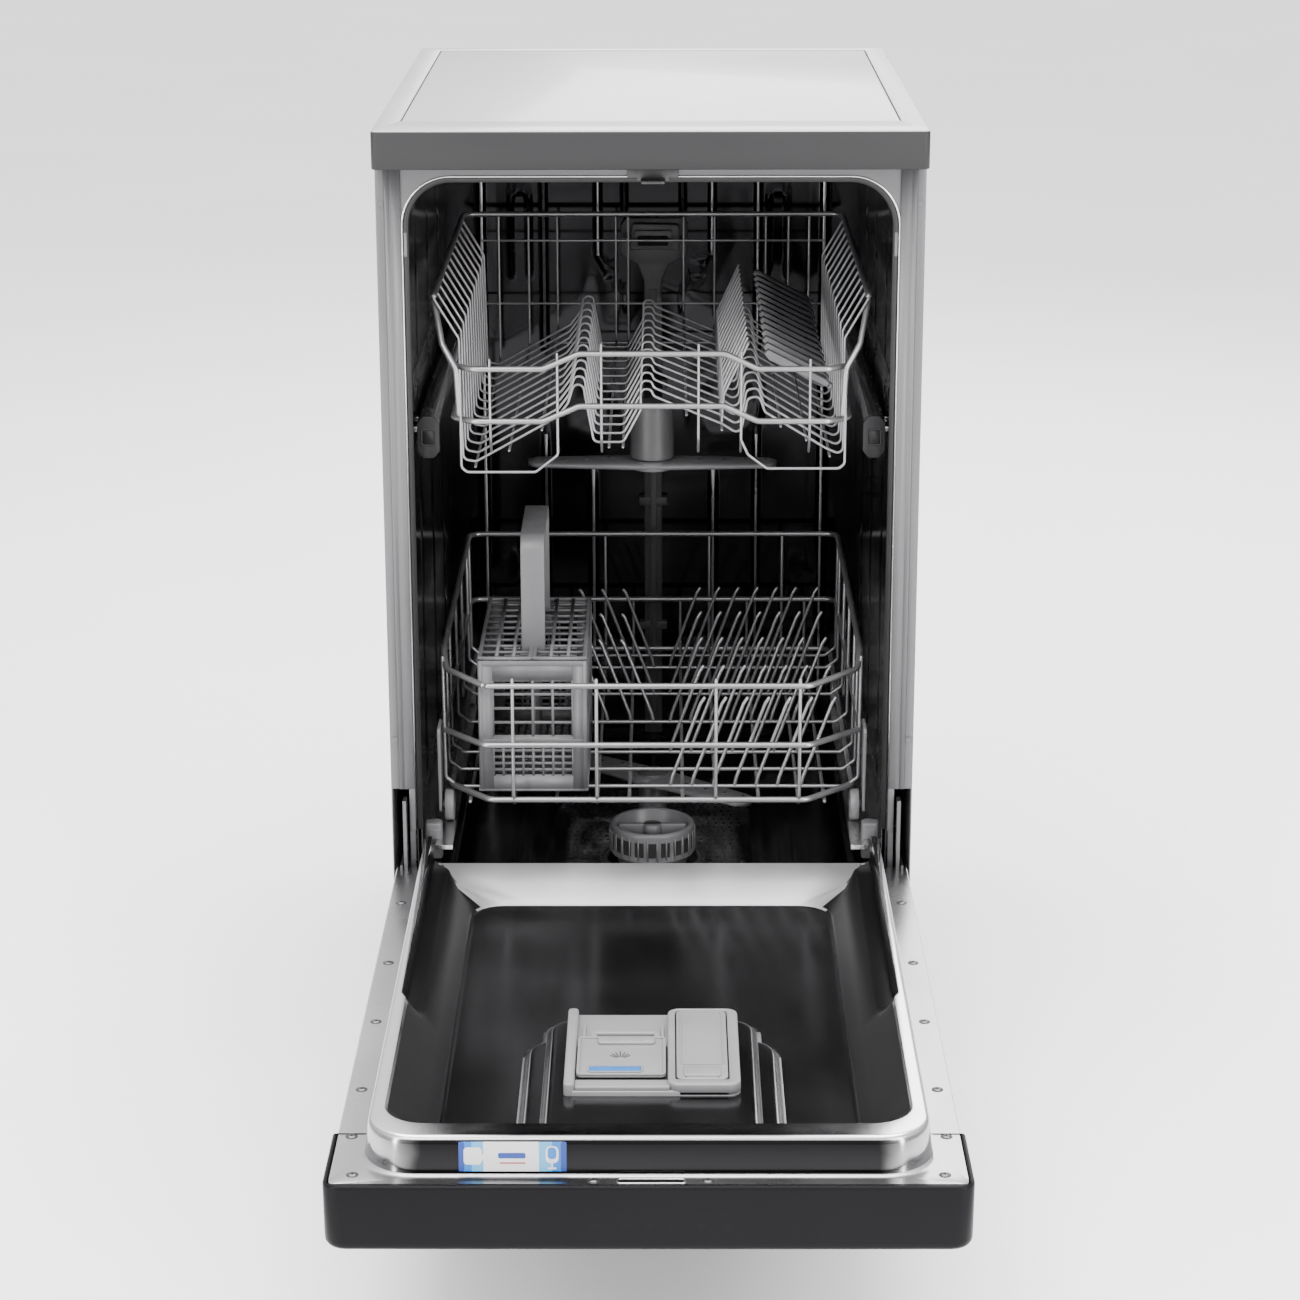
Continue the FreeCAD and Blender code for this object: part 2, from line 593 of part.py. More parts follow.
def spigot(label, x, z, radius):
    """A round connector on a square body, with a collar outside the back wall of the base."""
    wall_back = "cabinet_back - flange_back"
    wall_front = f"{wall_back} - base_wall"
    shell = block((f"{x} - 22", f"{wall_front} - 27", f"{z} - 22"),
                  (f"{x} + 22", f"{wall_front}", f"{z} + 22"))
    neck = rod(radius, (x, wall_front, z), "y", "base_wall")
    collar = rod(f"{radius} + 4", (x, wall_back, z), "y", "collar_thick")
    nose = rod(radius, (x, f"{wall_back} + collar_thick", z), "y",
               f"spigot_end - ({wall_back}) - collar_thick")
    keep(gather([shell, neck, collar, nose]), label)


def make_filter_cup():
    """A slotted cup that turns in the filter plate and lifts out."""
    cup = turned([("filter_radius - filter_wall", "filter_bottom"), ("filter_radius", "filter_bottom"),
                  ("filter_radius", "filter_top"), ("filter_radius - filter_wall", "filter_top")],
                 (0, "filter_y", 0))
    sketch = attached_sketch(cup, "YZ_Plane", 0)
    draw_outline(sketch, rectangle(-7, "filter_top - 26", 7, "filter_top - 20"))
    slot = cup.newObject("PartDesign::Pocket", "slot")
    slot.Profile = sketch
    slot.Type = 1
    slot.Reversed = True
    document.recompute()
    ring = cup.newObject("PartDesign::PolarPattern", "slots")
    ring.Originals = [slot]
    ring.Axis = ([item for item in cup.Origin.OriginFeatures if item.Role == "Z_Axis"][0], [""])
    ring.Angle = 360
    ring.Occurrences = 12
    cup.Tip = ring
    document.recompute()
    keep(cup, "filter_cup")


def make_spray_arm(label, height, turn):
    """A flat hollow blade, wide at its middle and tapered to both ends, round its own axis."""
    tip, waist = "arm_width / 4", "arm_width / 2"
    half = [("-arm_radius", f"-{tip}"), ("-arm_radius / 3", f"-{waist}"),
            ("arm_radius / 3", f"-{waist}"), ("arm_radius", f"-{tip}")]
    other = [("arm_radius", tip), ("arm_radius / 3", waist),
             ("-arm_radius / 3", waist), ("-arm_radius", tip)]
    blade = padded("XY_Plane", half + other, 0, "arm_thick")
    round_edges(blade, 6, runs_along("z"))
    bore = attached_sketch(blade, "XY_Plane", 0)
    radius = value("arm_bore")
    bore.addGeometry(Part.Circle(Vector(), Vector(0, 0, 1), radius), False)
    bore.addConstraint(Sketcher.Constraint("Coincident", 0, 3, -1, 1))
    bore.addConstraint(Sketcher.Constraint("Radius", 0, radius))
    bore.renameConstraint(1, "bore")
    bind(bore, "Constraints.bore", "arm_bore")
    hole = blade.newObject("PartDesign::Pocket", "bore_cut")
    hole.Profile = bore
    hole.Reversed = True
    bind(hole, "Length", "arm_thick")
    blade.Placement = Placement(Vector(), Rotation(Vector(0, 0, 1), 1))
    bind(blade, "Placement.Base.y", "arm_center_y")
    bind(blade, "Placement.Base.z", height)
    bind(blade, "Placement.Rotation.Angle", turn)
    document.recompute()
    keep(blade, label)


# ---------------------------------------------------------------- upper rack

def mirrored(points):
    return [(-x, y, z) for x, y, z in points]


# Upper rack, across the machine: where the rim turns back and steps up, the waved floor wire, the
# lobe hanging below the rim at each side, the front posts' feet and the wires along the floor
RIM_TURN = 150
RIM_STEP_START = 90
RIM_STEP_END = 61
RIM_SIDE_SET = 26
WAVE = ((-80, 594), (-63, 626), (-49, 573), (-25, 573), (-8, 622), (58, 588), (74, 578), (88, 614),
        (101, 594))
WAVE_COUNT = 8
WAVE_START = 34
WAVE_END = 16
POST_TOP = 660
LOBE = ((-79, POST_TOP), (-79, 567), (-94, 552), (-158, 552), (-158, 600))
LOBE_FLOOR = 552
POST_OUTER = 132
POST_INNER = (42, 566)
ALONG = (-37, 573)
BRACE_DEPTHS = (150, 430)


def upper_rack_wires():
    thin, thick = value("wire"), value("rim_wire")
    front, back = value("rack_front"), value("rack_back")
    half = value("upper_half")
    rail_x = half + thin + thick + WIRE_GAP
    bars = []
    for height in (value("upper_rim_z"), value("upper_mid_z")):
        rise = height + value("rim_rise")
        bars += wire_run([(-rail_x, back, height), (-rail_x, front + RIM_SIDE_SET, height),
                          (-RIM_TURN, front, height), (-RIM_STEP_START, front, height),
                          (-RIM_STEP_END, front, rise), (RIM_STEP_END + 1, front, rise),
                          (RIM_STEP_START + 1, front, height), (RIM_TURN, front, height),
                          (rail_x, front + RIM_SIDE_SET, height),
                          (rail_x, back, height)], thick)
        bars += wire_run([(-rail_x + thick + WIRE_GAP, back, height),
                          (rail_x - thick - WIRE_GAP, back, height)], thin)
    floor = value("upper_floor")
    top, knee, fence = value("fence_top"), value("fence_knee"), value("fence_half")
    profile = [(-fence, top), (-half, knee), (-half, floor), *WAVE, (half, floor + 3),
               (half, knee), (fence, top)]
    pitch = (back - front - WAVE_START - WAVE_END) / (WAVE_COUNT - 1)
    for index in range(WAVE_COUNT):
        y = front + WAVE_START + index * pitch
        bars += wire_run([(x, y, z) for x, z in profile], thin)
    plane = front + thick + thin + WIRE_GAP
    lobe = [(x, plane, z) for x, z in LOBE]
    bars += wire_run(lobe, thin)
    bars += wire_run(mirrored(lobe), thin)
    lowest = LOBE_FLOOR + 2 * thin + WIRE_GAP
    inner_x, inner_foot = POST_INNER
    for x, foot_z in ((POST_OUTER, lowest), (inner_x, inner_foot)):
        bars += wire_run([(-x, plane, POST_TOP), (-x, plane, foot_z)], thin)
        bars += wire_run([(x, plane, POST_TOP), (x, plane, foot_z)], thin)
    rest = plane + 2 * thin + WIRE_GAP
    under = 2 * thin + WIRE_GAP
    along_x, along_z = ALONG
    for x, z in ((along_x, along_z - under), (-half + 6, floor - under - 1), (half - 6, floor - under + 2)):
        bars += wire_run([(x, rest, z), (x, back + 2, z)], thin)
    return bars


def make_upper_rack():
    solids("upper_rack_basket", upper_rack_wires())
    rails = []
    caps = []
    for _, sign in SIDES:
        low, high = span(sign, "rail_inner", "rail_outer")
        front, back = "rack_front", "rail_back"
        rails.append(block((low, front, "rail_bottom"), (high, back, "rail_bottom + rail_lip")))
        rails.append(block((low, front, "rail_top - rail_lip"), (high, back, "rail_top")))
        low, high = span(sign, "rail_inner - 1.2", "rail_inner")
        rails.append(block((low, front, "rail_bottom"), (high, back, "rail_top")))
        low, high = span(sign, "upper_half + wire", "rail_inner - 1.2")
        for y in BRACE_DEPTHS:
            rails.append(block((low, f"{y} - 8", "rail_bottom + 2"),
                               (high, f"{y} + 8", "rail_top - 10")))
        low, high = span(sign, "rail_inner - 7", "rail_outer + 0.3")
        for start in ("rack_front - cap_depth", "rail_back"):
            caps.append(block((low, start, "rail_bottom - 5"),
                              (high, f"{start} + cap_depth", "rail_top + 3")))
    keep(gather(rails), "upper_rack_rails")
    keep(gather(caps), "rail_end_caps")
    tube_start = "arm_center_y + hub_radius"
    under = "upper_arm_z + arm_thick + 0.5"
    tube = rod(9, (0, tube_start, "upper_arm_z + 36"), "y", f"duct_front - 5 - ({tube_start})")
    drum = rod("hub_radius", (0, "arm_center_y", under), "z", 50)
    boss = rod("arm_bore - 0.05", (0, "arm_center_y", "upper_arm_z - 0.4"), "z",
               f"{under} - upper_arm_z + 0.4")
    keep(gather([tube, drum, boss]), "upper_feed_tube")
    for label, number in (("upper_wheels_front", 0), ("upper_wheels_rear", 1)):
        y = f"upper_wheel_y + {number} * upper_wheel_pitch"
        height = "(rail_bottom + rail_top) / 2"
        keep(gather([wheel("upper_wheel_radius", sign, "rail_inner + 1.5", "rail_outer - 1", y, height)
                     for _, sign in SIDES]), label)
    make_cup_shelf()


def wheel(radius, sign, inner, outer, y, z):
    """A grooved wheel on an axle along X, on the side that sign gives."""
    low, high = span(sign, inner, outer)
    width = f"({high}) - ({low})"
    bore = "axle_radius + axle_fit"
    return turned([(bore, 0), (f"{radius} - 1", 0), (radius, 1), (radius, f"{width} - 1"),
                   (f"{radius} - 1", width), (bore, width)], (low, y, z), "x")


def make_cup_shelf():
    """A sloping plate with a toothed inner edge, hinged along its outer edge."""
    lean = math.atan2(value("shelf_edge_z - shelf_hinge_z"), value("shelf_hinge_x - shelf_edge_x"))
    reach = math.hypot(value("shelf_edge_z - shelf_hinge_z"), value("shelf_hinge_x - shelf_edge_x"))
    front, back = value("shelf_front"), value("shelf_back")
    thick = value("shelf_thick")
    plate = Part.makeBox(reach - 8, back - front, thick, Vector(-(reach - 8), front, 0))
    count = 15
    pitch = (back - front) / count
    for index in range(count):
        tooth = Part.makeBox(8.5, pitch * 0.6, thick, Vector(-reach, front + index * pitch, 0))
        plate = plate.fuse(tooth)
    barrel = Part.makeCylinder(3, back - front, Vector(0, front, thick / 2), Vector(0, 1, 0))
    plate = plate.fuse(barrel).removeSplitter()
    plate.rotate(Vector(0, 0, 0), Vector(0, 1, 0), math.degrees(lean))
    plate.translate(Vector(value("shelf_hinge_x"), 0, value("shelf_hinge_z")))
    solids("cup_shelf", [plate])


# ---------------------------------------------------------------- lower rack

# Lower rack, across the machine: the rim's two front corners, how far back its sides start, the cross
# wires' places, the front posts, the wires along the floor and the plate prongs
CORNER_LEFT = -143
CORNER_RIGHT = 138
SIDE_SET = 44
CROSS_COUNT = 8
CROSS_START = 52
CROSS_END = 16
FRONT_POSTS = (-121, -48, 56, 129)
FLOOR_ENDS = (-150, 147)
FLOOR_WIRES = (-150, -75, 0, 75, 150)
PRONG_LEAN = 28
PRONG_RISE = 80
PRONGS_RIGHT = 7
PRONG_FIRST = 18
PRONG_PITCH = 19
PRONGS_LEFT = (-1, -21)


def lower_rack_wires():
    thin, thick = value("wire"), value("rim_wire")
    front, back = value("rack_front"), value("rack_back")
    half = value("lower_half")
    rim, side_z, mid, floor = (value(name) for name in
                               ("lower_rim_z", "lower_side_z", "lower_mid_z", "lower_floor"))
    bars = wire_run([(-half, back, side_z), (-half, front + SIDE_SET, side_z - 4),
                     (CORNER_LEFT, front, rim), (CORNER_RIGHT, front, rim),
                     (half, front + SIDE_SET, side_z - 4), (half, back, side_z)], thick)
    bars += wire_run([(-half, back, mid), (-half, front + SIDE_SET - 4, mid + 8),
                      (CORNER_LEFT, front, mid), (CORNER_RIGHT, front, mid),
                      (half, front + SIDE_SET - 4, mid + 8), (half, back, mid)], thick)
    inner = half - thin - thick - WIRE_GAP
    for height in (side_z, mid):
        bars += wire_run([(-half + thick + WIRE_GAP, back, height),
                          (half - thick - WIRE_GAP, back, height)], thin)
    under = floor - 2 * thin - WIRE_GAP
    pitch = (back - front - CROSS_START - CROSS_END) / (CROSS_COUNT - 1)
    for index in range(CROSS_COUNT):
        y = front + CROSS_START + index * pitch
        bars += wire_run([(-inner, y, side_z + 2), (-inner, y, floor), (inner, y, floor),
                          (inner, y, side_z + 2)], thin)
        if index % 2 == 0:
            bars += tine_row(y, floor, thin)
    plane = front + thick + thin + WIRE_GAP
    for x in FRONT_POSTS:
        bars += wire_run([(x, plane, rim + 6), (x, plane, under - 1)], thin)
    bars += wire_run([(x, plane + 2 * thin + WIRE_GAP, floor) for x in FLOOR_ENDS], thin)
    for x in FLOOR_WIRES:
        bars += wire_run([(x, plane + thin + WIRE_GAP, under), (x, back + 4, under)], thin)
    return bars


def tine_row(y, floor, thin):
    """Plate prongs in one row: the right group leans right and the left group leans left."""
    bars = []
    start = floor + thin + WIRE_GAP
    feet = [(PRONG_FIRST + PRONG_PITCH * index, 1) for index in range(PRONGS_RIGHT)]
    feet += [(x, -1) for x in PRONGS_LEFT]
    for x, way in feet:
        along = Vector(way * PRONG_LEAN, 0, PRONG_RISE)
        lift = Vector(x, y, start + thin * 0.5)
        bars.append(Part.makeCylinder(thin, along.Length, lift, along))
    return bars


def make_lower_rack():
    solids("lower_rack_basket", lower_rack_wires())
    brackets = []
    wheel_z = "track_top + wheel_gap + lower_wheel_radius"
    for _, sign in SIDES:
        for number in range(2):
            y = f"lower_wheel_y + {number} * lower_wheel_base"
            low, high = span(sign, "lower_half + rim_wire", "channel_outer - 0.8")
            brackets.append(block((low, f"{y} - 9", f"{wheel_z} - 6"), (high, f"{y} + 9", "lower_mid_z + 5")))
            start, _ = span(sign, "wheel_inner - 1", "lower_half + rim_wire")
            brackets.append(rod("axle_radius", (start, y, wheel_z), "x",
                                "lower_half + rim_wire - wheel_inner + 1"))
    keep(gather(brackets), "lower_wheel_brackets")
    for label, number in (("lower_wheels_front", 0), ("lower_wheels_rear", 1)):
        y = f"lower_wheel_y + {number} * lower_wheel_base"
        keep(gather([wheel("lower_wheel_radius", sign, "wheel_inner", "wheel_outer", y, wheel_z)
                     for _, sign in SIDES]), label)


def grille(low, high, axis, columns, rows, bar):
    """A flat plate with a grid of square windows through it, along one axis."""
    plate = Part.makeBox(*(high - low), low)
    across = [name for name in "xyz" if name != axis]
    spans = [getattr(high, name) - getattr(low, name) for name in across]
    counts = (columns, rows)
    windows = []
    steps = [(spans[side] - bar) / counts[side] for side in range(2)]
    for column in range(columns):
        for line in range(rows):
            corner = Vector(low)
            size = {axis: getattr(high, axis) - getattr(low, axis) + 2}
            setattr(corner, axis, getattr(low, axis) - 1)
            for side, index in ((0, column), (1, line)):
                name = across[side]
                setattr(corner, name, getattr(low, name) + bar + index * steps[side])
                size[name] = steps[side] - bar
            windows.append(Part.makeBox(size["x"], size["y"], size["z"], corner))
    return plate.cut(Part.makeCompound(windows))


def make_cutlery_basket():
    left, right = value("basket_left"), value("basket_right")
    front, back = value("basket_front"), value("basket_back")
    bottom, top = value("basket_bottom"), value("basket_top")
    wall = value("basket_wall")
    walls = [grille(Vector(left, front, bottom), Vector(right, front + wall, top), "y", 5, 8, 3),
             grille(Vector(left, back - wall, bottom), Vector(right, back, top), "y", 5, 8, 3),
             grille(Vector(left, front + wall, bottom), Vector(left + wall, back - wall, top), "x", 10, 8, 3),
             grille(Vector(right - wall, front + wall, bottom), Vector(right, back - wall, top),
                    "x", 10, 8, 3),
             grille(Vector(left + wall, front + wall, bottom),
                    Vector(right - wall, back - wall, bottom + wall), "z", 5, 10, 3)]
    middle_x, middle_y = (left + right) / 2, (front + back) / 2
    half, thick = value("handle_half"), value("handle_thick")
    reach, crown = value("handle_reach"), value("handle_top")
    for sign in (-1, 1):
        start = min(sign * reach, sign * (reach - thick))
        walls.append(Part.makeBox(2 * half, thick, crown - thick - top,
                                  Vector(middle_x - half, middle_y + start, top)))
    walls.append(Part.makeBox(2 * half, 2 * reach, thick,
                              Vector(middle_x - half, middle_y - reach, crown - thick)))
    web = Part.makeBox(thick, back - front - 2 * wall, top - (bottom + wall) - 20,
                       Vector(middle_x - thick / 2, front + wall, bottom + wall + 20))
    walls.append(web)
    solids("cutlery_basket", walls)
    gap = half + 0.8
    for side, sign in SIDES:
        outer = left if sign < 0 else right
        inner = middle_x + sign * 0.6
        low_x, high_x = min(outer, inner), max(outer, inner)
        lid = grille(Vector(low_x, front, top + 0.4), Vector(high_x, back, top + 0.4 + value("lid_thick")),
                     "z", 3, 12, 3)
        slot_low = min(middle_x, middle_x + sign * gap)
        for foot_y in (middle_y - reach, middle_y + reach):
            lid = lid.cut(Part.makeBox(gap, 12, 20, Vector(slot_low, foot_y - 6, top - 5)))
        solids(f"basket_lid_{side}", [lid])


# ---------------------------------------------------------------- door

def door_block(low, high):
    """A box given in the door's own u and w: u runs from the pivot to the door's top edge."""
    (low_x, low_u, low_w), (high_x, high_u, high_w) = low, high
    return block((low_x, f"pivot_y - ({high_u})", f"pivot_z + ({low_w})"),
                 (high_x, f"pivot_y - ({low_u})", f"pivot_z + ({high_w})"))


def facet(points, drop):
    """A flat plate: its corners in x, u and w, and the way that its thickness goes from them."""
    corners = [Vector(x, value("pivot_y") - u, value("pivot_z") + w) for x, u, w in points]
    face = Part.Face(Part.makePolygon(corners + corners[:1]))
    return face.extrude(drop)


def make_door_shell():
    skin = "panel_sheet"
    outer = door_block(("-skin_half", "-skin_bottom_u", "-skin_w"),
                       ("skin_half", "fascia_u", f"-skin_w + {skin}"))
    sheets = [outer]
    for _, sign in SIDES:
        low, high = span(sign, f"skin_half - {skin}", "skin_half")
        sheets.append(door_block((low, "-skin_bottom_u", f"-skin_w + {skin}"),
                                 (high, "fascia_u", "flange_w - liner_sheet")))
    keep(gather(sheets), "door_outer_panel")
    wall, edge = "fascia_wall", "fascia_edge"
    front = door_block(("-cabinet_half", "fascia_u", "-skin_w"),
                       ("cabinet_half", "door_top_u", f"-skin_w + {wall}"))
    top = door_block(("-cabinet_half", f"door_top_u - {edge}", f"-skin_w + {wall}"),
                     ("cabinet_half", "door_top_u", "flange_w + 0.6"))
    pieces = [front, top]
    for _, sign in SIDES:
        low, high = span(sign, f"cabinet_half - {wall}", "cabinet_half")
        pieces.append(door_block((low, "fascia_u", f"-skin_w + {wall}"),
                                 (high, f"door_top_u - {edge}", "flange_w")))
    keep(gather(pieces), "control_fascia")
    keep(door_block((-95, "fascia_u + 8", f"-skin_w + {wall}"),
                    (95, "door_top_u - 26", f"-skin_w + {wall} + 14")), "control_board")


def make_liner():
    """The door's inner panel: flange, raised rim, wheel channels and the recess, in flat plates."""
    names = ("liner_sheet", "flange_w", "rim_w", "skin_half", "rim_half", "rim_inner_half",
             "channel_outer", "recess_half")
    sheet_w, flange, rim, edge, outer, inner, channel, floor = map(value, names)
    names = ("flange_start_u", "liner_side_u", "liner_end_u", "rim_top_u", "rim_top_inner_u",
             "recess_top_u", "recess_bottom_u", "track_end_u", "liner_top_u", "rim_chamfer")
    flange_u, side_u, end_u, top_u, lip_u, deep_u, near_u, step_u, last_u, bevel = map(value, names)
    left, right, slot_low, slot_high = map(value, ("slot_left", "slot_right", "slot_low_u", "slot_high_u"))
    deep, low_w, track_w = -value("recess_w"), value("low_slope_w"), value("track_top - pivot_z")
    down = Vector(0, 0, -sheet_w)
    track = floor + (inner - floor) * (track_w - deep) / (rim - deep)
    low_half = floor + (inner - floor) * (low_w - deep) / (rim - deep)

    def flat(low_x, low_u, high_x, high_u, height):
        corners = [(low_x, low_u, height), (high_x, low_u, height),
                   (high_x, high_u, height), (low_x, high_u, height)]
        return facet(corners, down)

    def upright(start, end, low, high, way):
        """A wall between two places in x and u, its thickness going the way given."""
        corners = [start + (low,), end + (low,), end + (high,), start + (high,)]
        return facet(corners, way)

    base, under_rim = flange - sheet_w, rim - sheet_w
    plates = [flat(-edge, top_u, left, last_u, flange), flat(right, top_u, edge, last_u, flange),
              flat(left, top_u, right, slot_low, flange), flat(left, slot_high, right, last_u, flange),
              upright((bevel - outer + sheet_w, top_u), (outer - bevel - sheet_w, top_u), base, under_rim,
                      Vector(0, sheet_w, 0)),
              facet([(bevel - outer, top_u, rim), (outer - bevel, top_u, rim),
                     (inner, lip_u, rim), (-inner, lip_u, rim)], down),
              facet([(-inner, lip_u, rim), (inner, lip_u, rim), (floor, deep_u, deep),
                     (-floor, deep_u, deep)], down),
              flat(-floor, near_u, floor, deep_u, deep),
              facet([(-low_half, -end_u, low_w), (low_half, -end_u, low_w), (floor, near_u, deep),
                     (-floor, near_u, deep)], down)]
    part_way = (side_u + end_u) / (near_u + end_u)
    hip_x = low_half + (floor - low_half) * part_way
    hip_w = low_w + (deep - low_w) * part_way
    for _, sign in SIDES:
        inwards = Vector(-sign * sheet_w, 0, 0)

        def here(x, *rest):
            return (sign * x,) + rest
        low, high = sorted((sign * outer, sign * edge))
        plates.append(flat(low, flange_u, high, top_u, flange))
        plates.append(facet([here(outer - bevel, top_u, flange), here(outer, top_u, flange),
                             here(outer, top_u - bevel, flange)], down))
        plates.append(upright(here(outer, side_u), here(outer, top_u - bevel - sheet_w), base,
                              under_rim, inwards))
        plates.append(upright(here(outer, top_u - bevel), here(outer - bevel, top_u), base, under_rim,
                              Vector(-sign * sheet_w, sheet_w, 0) * 0.7))
        plates.append(facet([here(outer, side_u, rim), here(outer, step_u, rim),
                             here(channel, step_u, rim), here(channel, side_u, rim)], down))
        plates.append(facet([here(outer, step_u, rim), here(outer, top_u - bevel, rim),
                             here(inner, lip_u, rim), here(inner, step_u, rim)], down))
        plates.append(upright(here(channel, side_u), here(channel, step_u), track_w, under_rim, -inwards))
        plates.append(facet([here(channel, side_u, track_w), here(channel, step_u, track_w),
                             here(track, step_u, track_w), here(track, side_u, track_w)], down))
        plates.append(facet([here(track, step_u, track_w), here(channel, step_u, track_w),
                             here(channel, step_u, under_rim), here(inner, step_u, under_rim)],
                            Vector(0, sheet_w, 0)))
        plates.append(facet([here(track, side_u, track_w), here(hip_x, side_u, hip_w),
                             here(floor, near_u, deep), here(floor, step_u, deep),
                             here(track, step_u, track_w)], down))
        plates.append(facet([here(floor, step_u, deep), here(floor, deep_u, deep),
                             here(inner, lip_u, rim), here(inner, step_u, rim)], down))
    solids("door_liner", plates)


def make_hinge_arms():
    """A flat bar on each side of the door: an eye on the pivot, one leg inside the door, one up."""
    bars = []
    for _, sign in SIDES:
        low, high = span(sign, "hinge_x", "hinge_x + hinge_bar")
        half = "hinge_width / 2"
        eye = door_block((low, f"-{half}", f"-{half}"), (high, half, half))
        start, _ = span(sign, "hinge_x - 1", "hinge_x + hinge_bar + 1")
        hole = rod("pin_radius + pin_fit", (start, "pivot_y", "pivot_z"), "x", "hinge_bar + 2")
        bars.append(cut(eye, hole))
        bars.append(door_block((low, half, f"-{half}"), (high, "hinge_arm_reach", "hinge_width / 6")))
        bars.append(door_block((low, f"-{half}", half), (high, half, "hinge_arm_top")))
    keep(gather(bars), "hinge_arms")


def make_dispenser():
    """Detergent chamber with a sliding lid, beside the rinse-aid tank with its flap."""
    length = "disp_high_u - disp_low_u"
    near = "pivot_y - disp_high_u"
    foot = "pivot_z - recess_w"
    top = "pivot_z + disp_top_w"
    body = padded("XY_Plane", rectangle("disp_left", near, "disp_right", f"{near} + {length}"),
                  foot, f"{top} - ({foot})")
    round_edges(body, 8, runs_along("z"))
    add_pocket(body, "XY_Plane",
               rectangle("lid_left + 6", "pivot_y - lid_high_u + 6", "disp_split - 6",
                         "pivot_y - lid_low_u - 4"), f"{top} - chamber_depth", "chamber_depth + 1")
    keep(body, "dispenser_body")
    lid = padded("XY_Plane", rectangle("lid_left", "pivot_y - lid_high_u", "disp_split - 2",
                                       "pivot_y - lid_low_u"), f"{top} + 0.3", "cap_thick")
    round_edges(lid, 2, runs_along("z"))
    keep(lid, "detergent_lid")
    cap = padded("XY_Plane", rectangle("cap_left", "pivot_y - cap_high_u", "cap_right",
                                       "pivot_y - cap_low_u"), f"{top} + 0.3", "cap_thick")
    round_edges(cap, 2, runs_along("z"))
    keep(cap, "rinse_cap")


def make_lock():
    hook = document.addObject("PartDesign::Body", "hook")
    add_pad(hook, "YZ_Plane", [("pivot_y - slot_low_u + 1", "pivot_z - 20"),
                               ("pivot_y - slot_low_u + 9", "pivot_z - 20"),
                               ("pivot_y - slot_low_u + 9", "pivot_z - 3"),
                               ("pivot_y - slot_low_u + 1", "pivot_z - 1")],
            "(slot_left + slot_right) / 2 - 8", 16)
    keep(hook, "latch_hook")


# Screws: places along the door's flange and up the cabinet, and the springs in the base
FLANGE_PLACES = (150, 270, 360, 450, 520)
TOP_EDGE_PLACES = (-38, 41)
FRONT_PLACES = (324, 786)
REAR_PLACES = (200, 500, 780)
SPRING_RADIUS = 7
SPRING_LENGTH = 130


def screw(x, u):
    """A low screw head seated on the door's flange."""
    return rod(3.6, (x, f"pivot_y - ({u})", "pivot_z + flange_w"), "z", 0.5)


def make_fasteners():
    heads = []
    for _, sign in SIDES:
        for u in FLANGE_PLACES:
            heads.append(screw(f"{sign} * 212", u))
        heads.append(screw(f"{sign} * 208", "liner_top_u - 6"))
    for x in TOP_EDGE_PLACES:
        heads.append(screw(x, "liner_top_u - 6"))
    keep(gather(heads), "door_screws")
    heads = []
    for sign in (-1, 1):
        for z in FRONT_PLACES:
            heads.append(rod(2.6, (f"{sign} * 221.2", "cabinet_front - 0.9", z), "y", 0.9))
        for z in REAR_PLACES:
            heads.append(rod(3.4, (f"{sign} * 216", "cabinet_back", z), "y", 1.6))
    keep(gather(heads), "cabinet_screws")
    springs = [rod(SPRING_RADIUS, (f"{sign} * 210", 170, 70), "y", SPRING_LENGTH) for sign in (-1, 1)]
    keep(gather(springs), "door_springs")


# ---------------------------------------------------------------- build and export

make_worktop()
make_side_panels()
make_rear_panel()
make_base()
make_feet()
make_tub()
make_tracks()
make_catch()
make_hinge_brackets()
make_water_parts()
make_spray_arm("lower_spray_arm", "lower_arm_z", "lower_arm_turn")
make_spray_arm("upper_spray_arm", "upper_arm_z", 0)
make_upper_rack()
make_lower_rack()
make_cutlery_basket()
make_door_shell()
make_liner()
make_hinge_arms()
make_dispenser()
make_lock()
make_fasteners()
document.recompute()

for item in document.Objects:
    if {"Invalid", "Error"} & set(item.State):
        raise RuntimeError(f"{item.Label} is {item.State}")
for node in nodes:
    if node.Shape.isNull() or not node.Shape.isValid():
        raise RuntimeError(f"{node.Label} has no valid shape")

os.makedirs("parts", exist_ok=True)
for node in nodes:
    node.Shape.exportStep(os.path.join("parts", f"{node.Label}.step"))
print(f"{len(nodes)} sub-parts written")
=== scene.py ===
"""Looks of a slimline dishwasher with its door open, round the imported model."""

import json
import math

import bmesh
import bpy
from mathutils import Matrix, Vector

